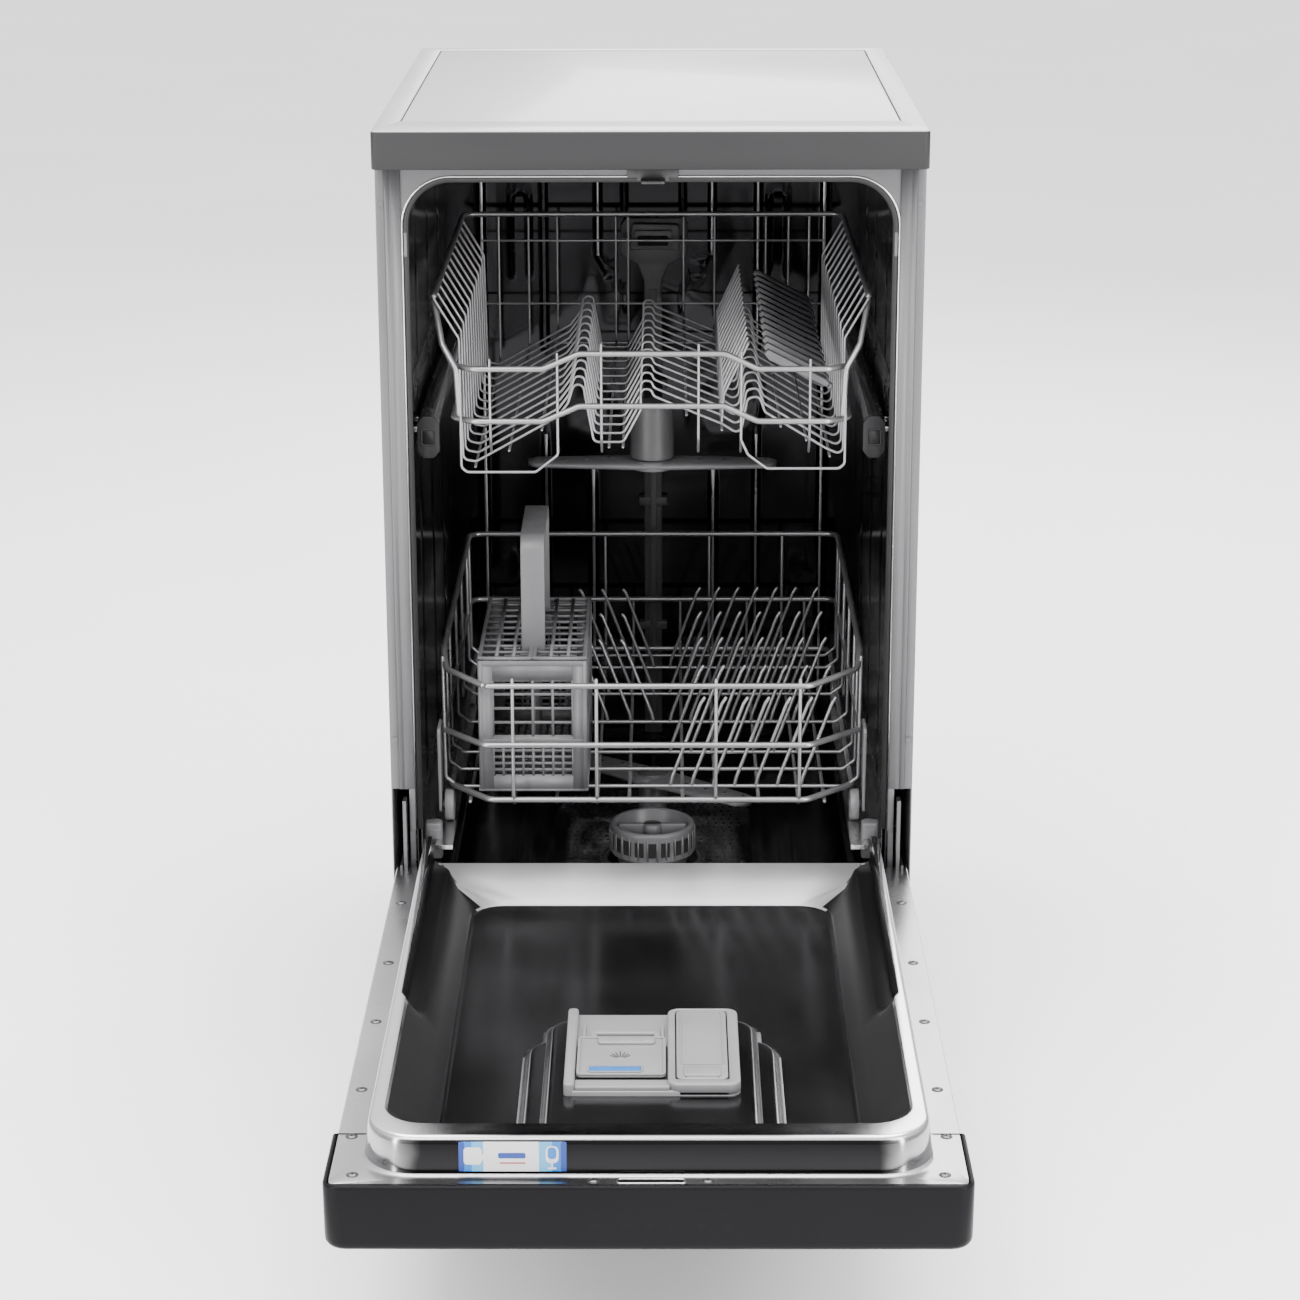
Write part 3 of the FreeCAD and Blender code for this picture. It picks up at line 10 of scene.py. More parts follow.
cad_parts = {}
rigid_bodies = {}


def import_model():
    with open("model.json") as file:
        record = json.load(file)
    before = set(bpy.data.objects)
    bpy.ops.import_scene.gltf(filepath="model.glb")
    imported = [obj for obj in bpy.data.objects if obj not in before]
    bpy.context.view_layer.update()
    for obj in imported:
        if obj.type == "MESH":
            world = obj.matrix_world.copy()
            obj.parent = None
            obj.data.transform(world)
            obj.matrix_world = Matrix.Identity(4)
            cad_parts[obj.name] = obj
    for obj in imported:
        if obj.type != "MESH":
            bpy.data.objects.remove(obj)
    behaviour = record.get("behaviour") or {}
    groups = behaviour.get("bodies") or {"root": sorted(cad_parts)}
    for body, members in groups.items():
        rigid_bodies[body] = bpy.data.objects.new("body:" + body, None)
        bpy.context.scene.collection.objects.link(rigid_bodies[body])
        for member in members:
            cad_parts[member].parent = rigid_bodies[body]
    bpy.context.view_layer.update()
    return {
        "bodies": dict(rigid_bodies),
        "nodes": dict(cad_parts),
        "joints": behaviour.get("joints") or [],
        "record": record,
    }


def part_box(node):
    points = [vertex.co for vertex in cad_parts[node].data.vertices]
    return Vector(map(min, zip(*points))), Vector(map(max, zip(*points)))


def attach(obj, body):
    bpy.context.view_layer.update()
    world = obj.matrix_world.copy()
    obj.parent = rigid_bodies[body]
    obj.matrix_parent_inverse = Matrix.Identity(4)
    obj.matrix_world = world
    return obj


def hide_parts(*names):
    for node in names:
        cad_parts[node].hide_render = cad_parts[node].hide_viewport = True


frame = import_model()
NODES = frame["nodes"]
MM = 0.001
SHEET = 0.8  # thickness of every pressed steel sheet
SHARP = math.radians(40)  # edges turned further than this stay crisp
ARM_Y = 290  # the spray arms turn about x = 0 at this depth
FILTER_Y = 200
TRIM_FOOT = 279  # height where the front trims' fluted part ends


# ---------------------------------------------------------------- materials

class Nodes:
    """A material under construction: short names for making and linking shader nodes."""

    def __init__(self, name):
        self.material = bpy.data.materials.new(name)
        self.material.use_nodes = True
        self.tree = self.material.node_tree
        self.shader = self.tree.nodes["Principled BSDF"]

    def add(self, kind, inputs=None, **settings):
        node = self.tree.nodes.new(kind)
        for key, item in settings.items():
            setattr(node, key, item)
        for key, item in (inputs or {}).items():
            self.put(node.inputs[key], item)
        return node

    def put(self, socket, item):
        if isinstance(item, bpy.types.NodeSocket):
            self.tree.links.new(item, socket)
        else:
            socket.default_value = item

    def place(self, stretch=(1, 1, 1)):
        """Object coordinates in metres, stretched per axis."""
        coords = self.add("ShaderNodeTexCoord")
        scaled = {"Vector": coords.outputs["Object"], "Scale": stretch}
        return self.add("ShaderNodeMapping", scaled).outputs[0]

    def noise(self, scale, detail=4, roughness=0.55, stretch=(1, 1, 1)):
        return self.add("ShaderNodeTexNoise", {"Vector": self.place(stretch), "Scale": scale,
                                               "Detail": detail, "Roughness": roughness}).outputs[0]

    def spread(self, source, low, high, start=0.3, end=0.7):
        return self.add("ShaderNodeMapRange", {"Value": source, "From Min": start, "From Max": end,
                                               "To Min": low, "To Max": high}).outputs[0]

    def tint(self, source, first, second, start=0.3, end=0.7):
        ramp = self.add("ShaderNodeValToRGB", {"Fac": source})
        ramp.color_ramp.elements[0].position = start
        ramp.color_ramp.elements[0].color = (*first, 1)
        ramp.color_ramp.elements[1].position = end
        ramp.color_ramp.elements[1].color = (*second, 1)
        return ramp.outputs[0]

    def bump(self, source, strength, distance=0.0002, onto=None):
        inputs = {"Height": source, "Strength": strength, "Distance": distance}
        if onto is not None:
            inputs["Normal"] = onto
        return self.add("ShaderNodeBump", inputs).outputs[0]

    def finish(self, **sockets):
        for key, item in sockets.items():
            self.put(self.shader.inputs[key.replace("_", " ")], item)
        return self.material


def shade(color, factor):
    """A colour made darker or lighter by a factor."""
    return tuple(min(1, channel * factor) for channel in color)


ALONG_X, ALONG_Y, ALONG_Z = (30, 1, 1), (1, 30, 1), (1, 1, 30)  # ways that brushed lines are packed


def brushed(name, color, rough, stretch=(1, 1, 1), grain=0.06, wear=0.06):
    """Rolled or brushed sheet metal: fine lines along one way, clouded polish and faint smears."""
    n = Nodes(name)
    lines = n.noise(60, 6, 0.7, stretch)
    cloud = n.noise(5, 5, 0.6)
    smear = n.noise(22, 3, 0.5, (1, 0.35, 1))
    polish = n.add("ShaderNodeMath", {0: n.spread(cloud, *rough), 1: n.spread(smear, 0, wear)},
                   operation="ADD").outputs[0]
    normal = n.bump(lines, grain, 0.0001)
    return n.finish(Base_Color=n.tint(cloud, shade(color, 0.88), shade(color, 1.08)),
                    Metallic=1.0, Roughness=polish, Normal=normal)


def moulded(name, color, rough=(0.32, 0.48), grain=0.12, scale=900, coat=0.0, vary=0.1):
    """Injection-moulded plastic: fine spark-eroded grain, flow clouds and lightly polished spots."""
    n = Nodes(name)
    fine = n.noise(scale, 3, 0.6)
    cloud = n.noise(9, 4, 0.6)
    rub = n.noise(70, 4, 0.65)
    normal = n.bump(rub, grain * 0.5, 0.0003, n.bump(fine, grain, 0.0001))
    return n.finish(Base_Color=n.tint(cloud, shade(color, 1 - vary), shade(color, 1 + vary)),
                    Roughness=n.spread(rub, *rough), Normal=normal, Coat_Weight=coat,
                    Coat_Roughness=0.12)


def lacquered(name, color, rough=(0.22, 0.34), flake=0.0, peel=0.05, metallic=0.0, coat=0.35, shine=0.5):
    """Sprayed sheet metal: orange peel, faint flakes and a slow drift in tone."""
    n = Nodes(name)
    peel_wave = n.noise(240, 2, 0.5)
    cloud = n.noise(3.5, 3, 0.5)
    flakes = n.add("ShaderNodeTexVoronoi", {"Vector": n.place(), "Scale": 2600}).outputs["Color"]
    tone = n.tint(cloud, shade(color, 0.94), shade(color, 1.05))
    mixed = n.add("ShaderNodeMix", {"Factor": flake}, data_type="RGBA", blend_type="OVERLAY")
    n.put(mixed.inputs["A"], tone)
    n.put(mixed.inputs["B"], flakes)
    return n.finish(Base_Color=mixed.outputs["Result"], Metallic=metallic,
                    Roughness=n.spread(cloud, *rough), Normal=n.bump(peel_wave, peel, 0.0002),
                    Coat_Weight=coat, Coat_Roughness=0.08, Specular_IOR_Level=shine)


def rubbery(name, color):
    """Matt seal rubber with a little dust."""
    n = Nodes(name)
    dust = n.noise(140, 5, 0.7)
    skin = n.noise(1300, 2, 0.5)
    return n.finish(Base_Color=n.tint(dust, shade(color, 0.8), shade(color, 1.8), 0.35, 0.8),
                    Roughness=n.spread(dust, 0.5, 0.72), Normal=n.bump(skin, 0.2, 0.0001))


def galvanised(name, color):
    """Zinc-coated sheet with its spangle."""
    n = Nodes(name)
    spangle = n.add("ShaderNodeTexVoronoi", {"Vector": n.place(), "Scale": 130, "Randomness": 1.0})
    value = n.add("ShaderNodeSeparateColor", {"Color": spangle.outputs["Color"]}).outputs[0]
    cloud = n.noise(8, 4, 0.6)
    return n.finish(Base_Color=n.tint(value, shade(color, 0.86), shade(color, 1.12), 0, 1),
                    Metallic=0.9, Roughness=n.spread(value, 0.3, 0.46, 0, 1),
                    Normal=n.bump(cloud, 0.04, 0.0004))


def painted_reflection_steel(name, middle, ends, start, end):
    """Polished steel with a painted reflection: dark in mid width and bright towards both ends, graded by
    place across x.
    """
    n = Nodes(name)
    width = n.add("ShaderNodeSeparateXYZ", {"Vector": n.place()}).outputs[0]
    away = n.add("ShaderNodeMath", {0: width}, operation="ABSOLUTE").outputs[0]
    drift = n.noise(18, 3, 0.5)
    shifted = n.add("ShaderNodeMath", {0: away, 1: n.spread(drift, -0.006, 0.006)},
                    operation="ADD").outputs[0]
    lines = n.noise(60, 6, 0.7, ALONG_X)
    return n.finish(Base_Color=n.tint(shifted, middle, ends, start, end), Metallic=1.0,
                    Roughness=n.spread(drift, 0.12, 0.2), Normal=n.bump(lines, 0.04, 0.0001))


def touch_glass(name, color, shine=0.06):
    """The dark face of the control panel, with a very faint weave under the gloss."""
    n = Nodes(name)
    cloud = n.noise(4, 3, 0.5)
    dust = n.noise(420, 3, 0.6)
    return n.finish(Base_Color=n.tint(cloud, shade(color, 0.9), shade(color, 1.12)),
                    Roughness=n.spread(dust, 0.3, 0.4), Normal=n.bump(dust, 0.02, 0.0001),
                    Specular_IOR_Level=shine)


GREYS = (  # maker, name, colour and what differs from the maker's defaults
    # lid_top and lid_side are partly two tones of the lid and partly lit and shaded copies: the side's
    # darkness holds painted shade.
    (lacquered, "lid_top", (0.29, 0.287, 0.293), dict(rough=(0.26, 0.36), flake=0.05, coat=0.15)),
    (lacquered, "lid_side", (0.016, 0.0154, 0.0163), dict(rough=(0.45, 0.55), flake=0.08, coat=0, shine=0.3)),
    (lacquered, "side_paint", (0.1, 0.098, 0.102), dict(rough=(0.3, 0.4), flake=0.12, coat=0.15)),
    (lacquered, "trim", (0.095, 0.093, 0.097), dict(rough=(0.34, 0.44), flake=0.04, coat=0.05)),
    (galvanised, "zinc", (0.33, 0.335, 0.34), {}),
    # The tub's steel is darkened far below real stainless: painted shade for the tub's inside.
    (brushed, "tub_steel", (0.12, 0.118, 0.122), dict(rough=(0.1, 0.17), stretch=ALONG_Z, grain=0.04)),
    (brushed, "liner_steel", (0.42, 0.417, 0.423), dict(rough=(0.18, 0.28), stretch=ALONG_X, grain=0.04)),
    # The recess floor's darker steel is painted shade on the liner's own sheet.
    (brushed, "recess_steel", (0.135, 0.133, 0.137),
     dict(rough=(0.14, 0.2), stretch=ALONG_Y, grain=0.05, wear=0.05)),
    # The hinge slope's pale steel is a painted highlight on the liner's own sheet.
    (brushed, "satin_steel", (0.78, 0.775, 0.785),
     dict(rough=(0.4, 0.5), stretch=ALONG_X, grain=0.04, wear=0.04)),
    (brushed, "hinge_steel", (0.16, 0.158, 0.162), dict(rough=(0.25, 0.38), wear=0.12)),
    (touch_glass, "fascia_mark", (0.012, 0.0114, 0.0124), dict(shine=0.02)),
    (touch_glass, "end_cap", (0.022, 0.0215, 0.0225), dict(shine=0.12)),
    (brushed, "bright_steel", (0.75, 0.745, 0.74), dict(rough=(0.12, 0.22), stretch=ALONG_Y, wear=0.12)),
    (moulded, "black_plastic", (0.012, 0.012, 0.013), dict(rough=(0.38, 0.55))),
    (moulded, "dark_plastic", (0.018, 0.0178, 0.0185), dict(rough=(0.35, 0.5))),
    (moulded, "mid_plastic", (0.055, 0.054, 0.056), dict(rough=(0.35, 0.5))),
    (moulded, "grey_plastic", (0.105, 0.103, 0.107), dict(rough=(0.34, 0.48))),
    (moulded, "pale_plastic", (0.18, 0.177, 0.182), dict(rough=(0.34, 0.46), grain=0.08)),
    (lacquered, "rack_coat", (0.29, 0.287, 0.293), dict(rough=(0.26, 0.36), metallic=0.75, coat=0.2)),
    # The rear wall's steel is darker still: painted shade deep in the tub.
    (brushed, "back_steel", (0.0165, 0.016, 0.017), dict(rough=(0.07, 0.13), stretch=ALONG_Z, grain=0.04)),
    # The inner slopes' near-black steel is painted shade on the liner's own sheet.
    (brushed, "slope_steel", (0.042, 0.041, 0.043),
     dict(rough=(0.28, 0.34), stretch=ALONG_Y, grain=0.015, wear=0.02)),
    # Paler steel laid on the rib crests: a painted highlight on the tub's own sheet.
    (brushed, "rib_steel", (0.3, 0.296, 0.303), dict(rough=(0.22, 0.3), stretch=ALONG_Z, grain=0.04)),
    (rubbery, "rubber", (0.012, 0.012, 0.012), {}),
    (touch_glass, "fascia", (0.0062, 0.0057, 0.0064), {}),
    (brushed, "screw", (0.72, 0.72, 0.7), dict(rough=(0.14, 0.26), wear=0.12)),
    # Flat black for holes, slots, gaps and recesses: painted shade where openings show darkness.
    (moulded, "void", (0.004, 0.004, 0.004), dict(rough=(0.6, 0.8))),
)
STICKER = dict(rough=(0.3, 0.4), grain=0.02)
COLOURS = (
    (moulded, "blue_window", (0.035, 0.14, 0.36), dict(rough=(0.08, 0.16), grain=0.02, coat=0.8)),
    (moulded, "sticker_white", (0.5, 0.5, 0.52), dict(STICKER, vary=0.03)),
    (moulded, "sticker_blue", (0.003, 0.03, 0.2), dict(STICKER, vary=0.06)),
    (moulded, "sticker_cyan", (0.004, 0.12, 0.4), dict(STICKER, vary=0.06)),
    (moulded, "sticker_sky", (0.07, 0.28, 0.48), dict(STICKER, vary=0.06)),
    (moulded, "sticker_red", (0.3, 0.012, 0.01), dict(STICKER, vary=0.06)),
)
M = {name: maker(name, colour, **details) for maker, name, colour, details in GREYS + COLOURS}
# The door liner's near wall and rim crown get painted reflections: dark in their middles and bright towards
# their ends.
M["wall_steel_painted_reflection"] = painted_reflection_steel("wall_steel_painted_reflection", (0.018, 0.0175, 0.0185), (0.4, 0.397, 0.403), 0.158, 0.192)
M["rim_steel_painted_reflection"] = painted_reflection_steel("rim_steel_painted_reflection", (0.09, 0.088, 0.092), (0.72, 0.715, 0.725), 0.095, 0.165)


# ---------------------------------------------------------------- mesh helpers, all in millimetres

def link(name, mesh, material, body, nodes=(), smooth=True):
    """Puts a mesh into the scene in its place on a body, in the stead of the CAD nodes given."""
    mesh.name = name
    piece = bpy.data.objects.new(name, mesh)
    bpy.context.scene.collection.objects.link(piece)
    materials = material if isinstance(material, (list, tuple)) else [material]
    for item in materials:
        mesh.materials.append(M[item])
    if smooth:
        mesh.shade_smooth()
    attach(piece, body)
    if nodes:
        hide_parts(*nodes)
    return piece


def from_faces(points, faces):
    """A mesh from places in millimetres; its own coordinates are metres."""
    mesh = bpy.data.meshes.new("mesh")
    mesh.from_pydata([(x * MM, y * MM, z * MM) for x, y, z in points], [], faces)
    mesh.validate()
    return mesh


def join(meshes):
    """One mesh out of several, keeping each face's material number."""
    form = bmesh.new()
    for mesh in meshes:
        form.from_mesh(mesh)
        bpy.data.meshes.remove(mesh)
    mesh = bpy.data.meshes.new("mesh")
    form.to_mesh(mesh)
    form.free()
    return mesh


def paint(mesh, number):
    """The same mesh with every face on one material number."""
    for face in mesh.polygons:
        face.material_index = number
    return mesh


def tidy(mesh, merge=0.01, bevel=0, angle=30, segments=2):
    """Welds, turns faces outwards and, if asked, rounds the sharp edges."""
    form = bmesh.new()
    form.from_mesh(mesh)
    bmesh.ops.remove_doubles(form, verts=form.verts, dist=merge * MM)
    bmesh.ops.recalc_face_normals(form, faces=form.faces)
    if bevel:
        sharp = [edge for edge in form.edges if len(edge.link_faces) == 2
                 and edge.calc_face_angle(0) > math.radians(angle)]
        bmesh.ops.bevel(form, geom=sharp, offset=bevel * MM, segments=segments, profile=0.5,
                        affect="EDGES", clamp_overlap=True, harden_normals=False)
    form.to_mesh(mesh)
    form.free()
    return mesh


def loft(loops, closed=True, cap_start=False, cap_end=False):
    """A skin through loops of points that all have the same number of points."""
    count = len(loops[0])
    points = [point for loop in loops for point in loop]
    faces = []
    for row in range(len(loops) - 1):
        for index in range(count if closed else count - 1):
            following = (index + 1) % count
            faces.append((row * count + index, row * count + following,
                          (row + 1) * count + following, (row + 1) * count + index))
    if cap_start:
        faces.append(tuple(range(count))[::-1])
    if cap_end:
        faces.append(tuple((len(loops) - 1) * count + index for index in range(count)))
    return from_faces(points, faces)


def rect(left, right, low, high):
    """The corners of a rectangle, in order round it."""
    return [(left, low), (right, low), (right, high), (left, high)]


def rounded(points, radius, steps=5, closed=True):
    """A polygon of 2-D or 3-D points with each corner turned into an arc."""
    corners = [Vector(point) for point in points]
    count = len(corners)
    made = []
    for index, corner in enumerate(corners):
        size = radius[index] if isinstance(radius, (list, tuple)) else radius
        ends = not closed and index in (0, count - 1)
        if ends or size <= 0:
            made.append(corner)
            continue
        before = (corners[index - 1] - corner)
        after = (corners[(index + 1) % count] - corner)
        opening = before.angle(after)
        if opening > math.pi - 0.02:
            made.append(corner)
            continue
        reach = min(size / math.tan(opening / 2), before.length * 0.48, after.length * 0.48)
        size = reach * math.tan(opening / 2)
        first = corner + before.normalized() * reach
        last = corner + after.normalized() * reach
        middle = corner + (before.normalized() + after.normalized()).normalized() * (
            size / math.sin(opening / 2))
        sweep = math.pi - opening
        a, b = first - middle, last - middle
        for step in range(steps + 1):
            part = step / steps
            made.append(middle + (a * math.sin((1 - part) * sweep) + b * math.sin(part * sweep))
                        / math.sin(sweep))
    return [tuple(point) for point in made]


def prism(outline, start, end, axis="y", material=0, bevel=0, segments=2):
    """A closed outline carried along an axis. The outline holds the other two coordinates in order."""
    def lift(pair, value):
        if axis == "x":
            return (value, pair[0], pair[1])
        if axis == "y":
            return (pair[0], value, pair[1])
        return (pair[0], pair[1], value)
    mesh = loft([[lift(pair, start) for pair in outline], [lift(pair, end) for pair in outline]],
                cap_start=True, cap_end=True)
    return paint(tidy(mesh, bevel=bevel, segments=segments), material)


def slab(low, high, radius=1.0, material=0, segments=2):
    """A box with rounded edges, from its low corner to its high corner."""
    outline = rect(low[0], high[0], low[1], high[1])
    return prism(outline, low[2], high[2], "z", material, radius, segments)


def lathe(profile, center, axis="z", steps=32, material=0, closed=False):
    """A body turned from (radius, height) pairs about an axis through center."""
    loops = []
    for radius, height in profile:
        loop = []
        for step in range(steps):
            angle = 2 * math.pi * step / steps
            a, b = radius * math.cos(angle), radius * math.sin(angle)
            loop.append({"x": (center[0] + height, center[1] + a, center[2] + b),
                         "y": (center[0] + b, center[1] + height, center[2] + a),
                         "z": (center[0] + a, center[1] + b, center[2] + height)}[axis])
        loops.append(loop)
    if closed:
        loops.append(loops[0])
    return paint(tidy(loft(loops, cap_start=not closed, cap_end=not closed)), material)


def wires(paths, radius, bend=4, sides=8, material=0):
    """Round bars along bent paths, each with rounded bends and domed ends."""
    meshes = []
    for path in paths:
        points = [Vector(point) for point in rounded(path, bend, 4, closed=False)]
        meshes.append(bar(points, radius, sides))
    return paint(join(meshes), material)


def bar(points, radius, sides):
    """One round bar through points, turned smoothly from section to section."""
    clean = [points[0]]
    for point in points[1:]:
        if (point - clean[-1]).length > 0.05:
            clean.append(point)
    points = clean
    directions = []
    for index in range(len(points)):
        before = points[index] - points[max(index - 1, 0)]
        after = points[min(index + 1, len(points) - 1)] - points[index]
        directions.append((before.normalized() + after.normalized()).normalized())
    side = directions[0].orthogonal().normalized()
    loops = []
    for index, (point, along) in enumerate(zip(points, directions)):
        side = (side - along * side.dot(along)).normalized()
        other = along.cross(side)
        rings = [(0, 1.0)]
        if index == 0:
            rings = [(0.0, 0.45), (0.35, 0.85), (0.9, 1.0)]
        elif index == len(points) - 1:
            rings = [(-0.9, 1.0), (-0.35, 0.85), (0.0, 0.45)]
        for shift, size in rings:
            center = point + along * (shift * radius)
            loops.append([tuple(center + (side * math.cos(2 * math.pi * k / sides)
                                          + other * math.sin(2 * math.pi * k / sides))
                                * radius * size) for k in range(sides)])
    return loft(loops, cap_start=True, cap_end=True)


def door(x, u, w):
    """A place on the open door: u from the pivot towards the door's top edge, w above the pivot."""
    return (x, PIVOT_Y - u, PIVOT_Z + w)


def mesh_of(piece):
    """The piece's mesh with its modifiers applied."""
    bpy.context.view_layer.update()
    held = piece.evaluated_get(bpy.context.evaluated_depsgraph_get())
    mesh = bpy.data.meshes.new_from_object(held)
    piece.modifiers.clear()
    piece.data = mesh
    return piece


def extent(node):
    """Low and high corners of a CAD node, in millimetres."""
    return tuple(tuple(value / MM for value in point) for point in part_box(node))


# The door's pivot, from the bore that the hinge pins turn in
PIVOT_Y = extent("hinge_arms")[1][1] - 6
PIVOT_Z = extent("hinge_arms")[0][2] + 6


# ---------------------------------------------------------------- cabinet

def rect_loop(x, y, z, radius, steps=5):
    """A level loop with round corners between low and high x and y."""
    outline = rounded(rect(x[0], x[1], y[0], y[1]), radius, steps)
    return [(a, b, z) for a, b in outline]


def turn_to(loop, axis):
    """A level loop stood up, so that its z becomes the place along the axis given."""
    if axis == "x":
        return [(z, a, b) for a, b, z in loop]
    return [(a, z, b) for a, b, z in loop]


def make_worktop():
    """The lid: a moulded edge round an inset board."""
    (x0, y0, z0), (x1, y1, z1) = extent("worktop_frame")
    (px0, py0, _), (px1, py1, pz1) = extent("worktop_panel")
    gap = 0.5

    def ring(inset, z, radius):
        return rect_loop((x0 + inset, x1 - inset), (y0 + inset, y1 - inset), z, radius)

    def mouth(z, radius, out=0.0):
        return rect_loop((px0 - gap - out, px1 + gap + out), (py0 - gap - out, py1 + gap + out), z, radius)
    loops = [mouth(z0 + 12, 2), mouth(z0, 2), ring(3, z0, 3), ring(0.7, z0, 4), ring(0, z0 + 0.8, 4.5),
             ring(0, z1 - 2.2, 4.5), ring(0.35, z1 - 1.0, 4.4), ring(1.1, z1 - 0.3, 4.2), ring(2.2, z1, 4),
             mouth(z1, 2, 1.2), mouth(z1 - 0.5, 2, 0.3), mouth(z1 - 1.4, 2), mouth(z1 - 10, 2)]
    shell = tidy(loft(loops))
    piece = link("worktop_edge", shell, ["lid_side", "lid_top"], "cabinet", ["worktop_frame"])
    # Faces turned up take the pale lid_top and all others the dark lid_side: partly the edge's darker
    # moulding, partly painted shade on the faces turned away from the overhead lamp.
    for face in piece.data.polygons:
        face.material_index = 1 if face.normal.z > 0.5 else 0

    def plate(inset, z):
        return rect_loop((px0 + inset, px1 - inset), (py0 + inset, py1 - inset), z, 2)
    loops = [plate(0, pz1 - 14), plate(0, pz1 - 0.9), plate(0.3, pz1 - 0.25), plate(0.9, pz1)]
    link("worktop_inset", tidy(loft(loops, cap_start=True, cap_end=True)), "lid_top", "cabinet",
         ["worktop_panel"])


def pressed(u, v, face, way, dent, axis):
    """A thin sheet between u and v limits with a rounded rectangular dent, facing along an axis.

    The dent is its limits in u and v, its depth and its corner radius.
    """
    du, dv, depth, dent_radius = dent
    skins = []
    for offset in (0, -SHEET * way):
        loops = [rect_loop(u, v, face + offset, 1.5)]
        for part, drop in ((0, 0), (1.5, 0.12), (4, 0.5), (6.5, 0.88), (8, 1.0)):
            loops.append(rect_loop((du[0] + part, du[1] - part), (dv[0] + part, dv[1] - part),
                                   face + offset - way * depth * drop, max(dent_radius - part, 1)))
        skins.append([turn_to(loop, axis) for loop in loops])
    front, back = skins
    return tidy(loft(back[::-1] + front, cap_start=True, cap_end=True), merge=0.001)


def make_panels():
    """Pressed sheets at the sides and the back."""
    for side, sign in (("left", -1), ("right", 1)):
        node = f"side_panel_{side}"
        low, high = extent(node)
        outer = high[0] if sign > 0 else low[0]
        sheet = pressed((low[1] + 0.6, high[1]), (low[2], high[2]), outer, sign,
                        ((low[1] + 62, high[1] - 52), (low[2] + 70, high[2] - 60), 1.3, 26), "x")
        lip = slab((min(outer, outer - 7 * sign), low[1], TRIM_FOOT),
                   (max(outer, outer - 7 * sign), low[1] + 0.8, high[2]), 0.35)
        fold = lathe([(0.7, low[2]), (0.7, high[2])], (outer - 0.75 * sign, low[1] + 0.75, 0), "z", 12)
        back = slab((min(outer, outer - 16 * sign), high[1] - 0.8, low[2]),
                    (max(outer, outer - 16 * sign), high[1], high[2]), 0.3)
        link(f"side_sheet_{side}", join([sheet, lip, fold, back]), "side_paint", "cabinet", [node])
    low, high = extent("rear_panel")
    sheet = pressed((low[0], high[0]), (low[2], high[2]), high[1], 1,
                    ((low[0] + 30, high[0] - 30), (low[2] + 40, high[2] - 40), 1.6, 30), "y")
    link("rear_sheet", sheet, "zinc", "cabinet", ["rear_panel"])
    # The vent slots are thin flat black prisms: painted shade of the openings.
    slots = []
    for row in range(9):
        for column in range(3):
            x, z = -60 + column * 60, high[2] - 90 - row * 11
            slots.append(prism(rounded(rect(x - 20, x + 20, z - 2, z + 2),
                                       1.9), high[1] - 1.75, high[1] - 1.55))
    link("rear_vent_slots", join(slots), "void", "cabinet")


def make_base():
    """Plinth, ribs under the tray, and the feet."""
    low, high = extent("plinth")
    outline = [(low[1], low[2]), (high[1], low[2]), (high[1], high[2] - 4), (high[1] + 6, high[2]),
               (high[1] + 6, high[2] + 0.8), (low[1] + 1, high[2] + 0.8), (low[1], high[2] - 1)]
    board = prism(rounded(outline, 0.6), low[0], high[0], "x")
    grooves = [slab((low[0] + 8, low[1] - 0.7, z), (high[0] - 8, low[1] + 0.4, z + 1.6), 0.5)
               for z in (52, 84)]
    link("plinth_board", join([board] + grooves), "black_plastic", "cabinet", ["plinth"])
    low, high = extent("base_tray")
    ribs = []
    for index in range(1, 8):
        x = low[0] + (high[0] - low[0]) * index / 8
        ribs.append(slab((x - 1.2, low[1] + 4, low[2] - 7), (x + 1.2, high[1] - 4, low[2] + 0.2), 0.5))
    for index in range(1, 9):
        y = low[1] + (high[1] - low[1]) * index / 9
        ribs.append(slab((low[0] + 4, y - 1.2, low[2] - 7), (high[0] - 4, y + 1.2, low[2] + 0.2), 0.5))
    link("base_ribs", join(ribs), "dark_plastic", "cabinet")
    for node, body in (("front_foot_left", "foot_left"), ("front_foot_right", "foot_right")):
        (x0, y0, z0), (x1, y1, z1) = extent(node)
        mesh = foot_mesh((x0 + x1) / 2, (y0 + y1) / 2, z1)
        link(node + "_turned", mesh, ["black_plastic", "rubber", "screw"], body, [node])
    (x0, y0, _), (x1, y1, z1) = extent("rear_feet")
    mesh = join([foot_mesh(x, (y0 + y1) / 2, z1) for x in (x0 + 19, x1 - 19)])
    link("rear_feet_turned", mesh, ["black_plastic", "rubber", "screw"], "cabinet", ["rear_feet"])


def foot_mesh(x, y, top):
    """A levelling foot: rubber sole, hexagonal collar and threaded stem."""
    sole = lathe([(16.5, 0), (18, 0.6), (18.4, 1.8), (18.4, 2.4)], (x, y, 0), "z", 36, 1)
    dish = lathe([(18.4, 2.4), (19, 3.2), (19, 7), (18.2, 7.9), (9, 9.5)], (x, y, 0), "z", 36, 0)
    hexagon = [(x + 9.5 * math.cos(k * math.pi / 3), y + 9.5 * math.sin(k * math.pi / 3)) for k in range(6)]
    collar = prism(hexagon, 9.3, 15.5, "z", 0, 0.7)
    thread = []
    height = 15.5
    while height < top - 0.6:
        thread += [(4.3, height), (5, height + 0.55)]
        height += 1.1
    stem = lathe(thread, (x, y, 0), "z", 20, 2)
    return join([sole, dish, collar, stem])


# ---------------------------------------------------------------- tub

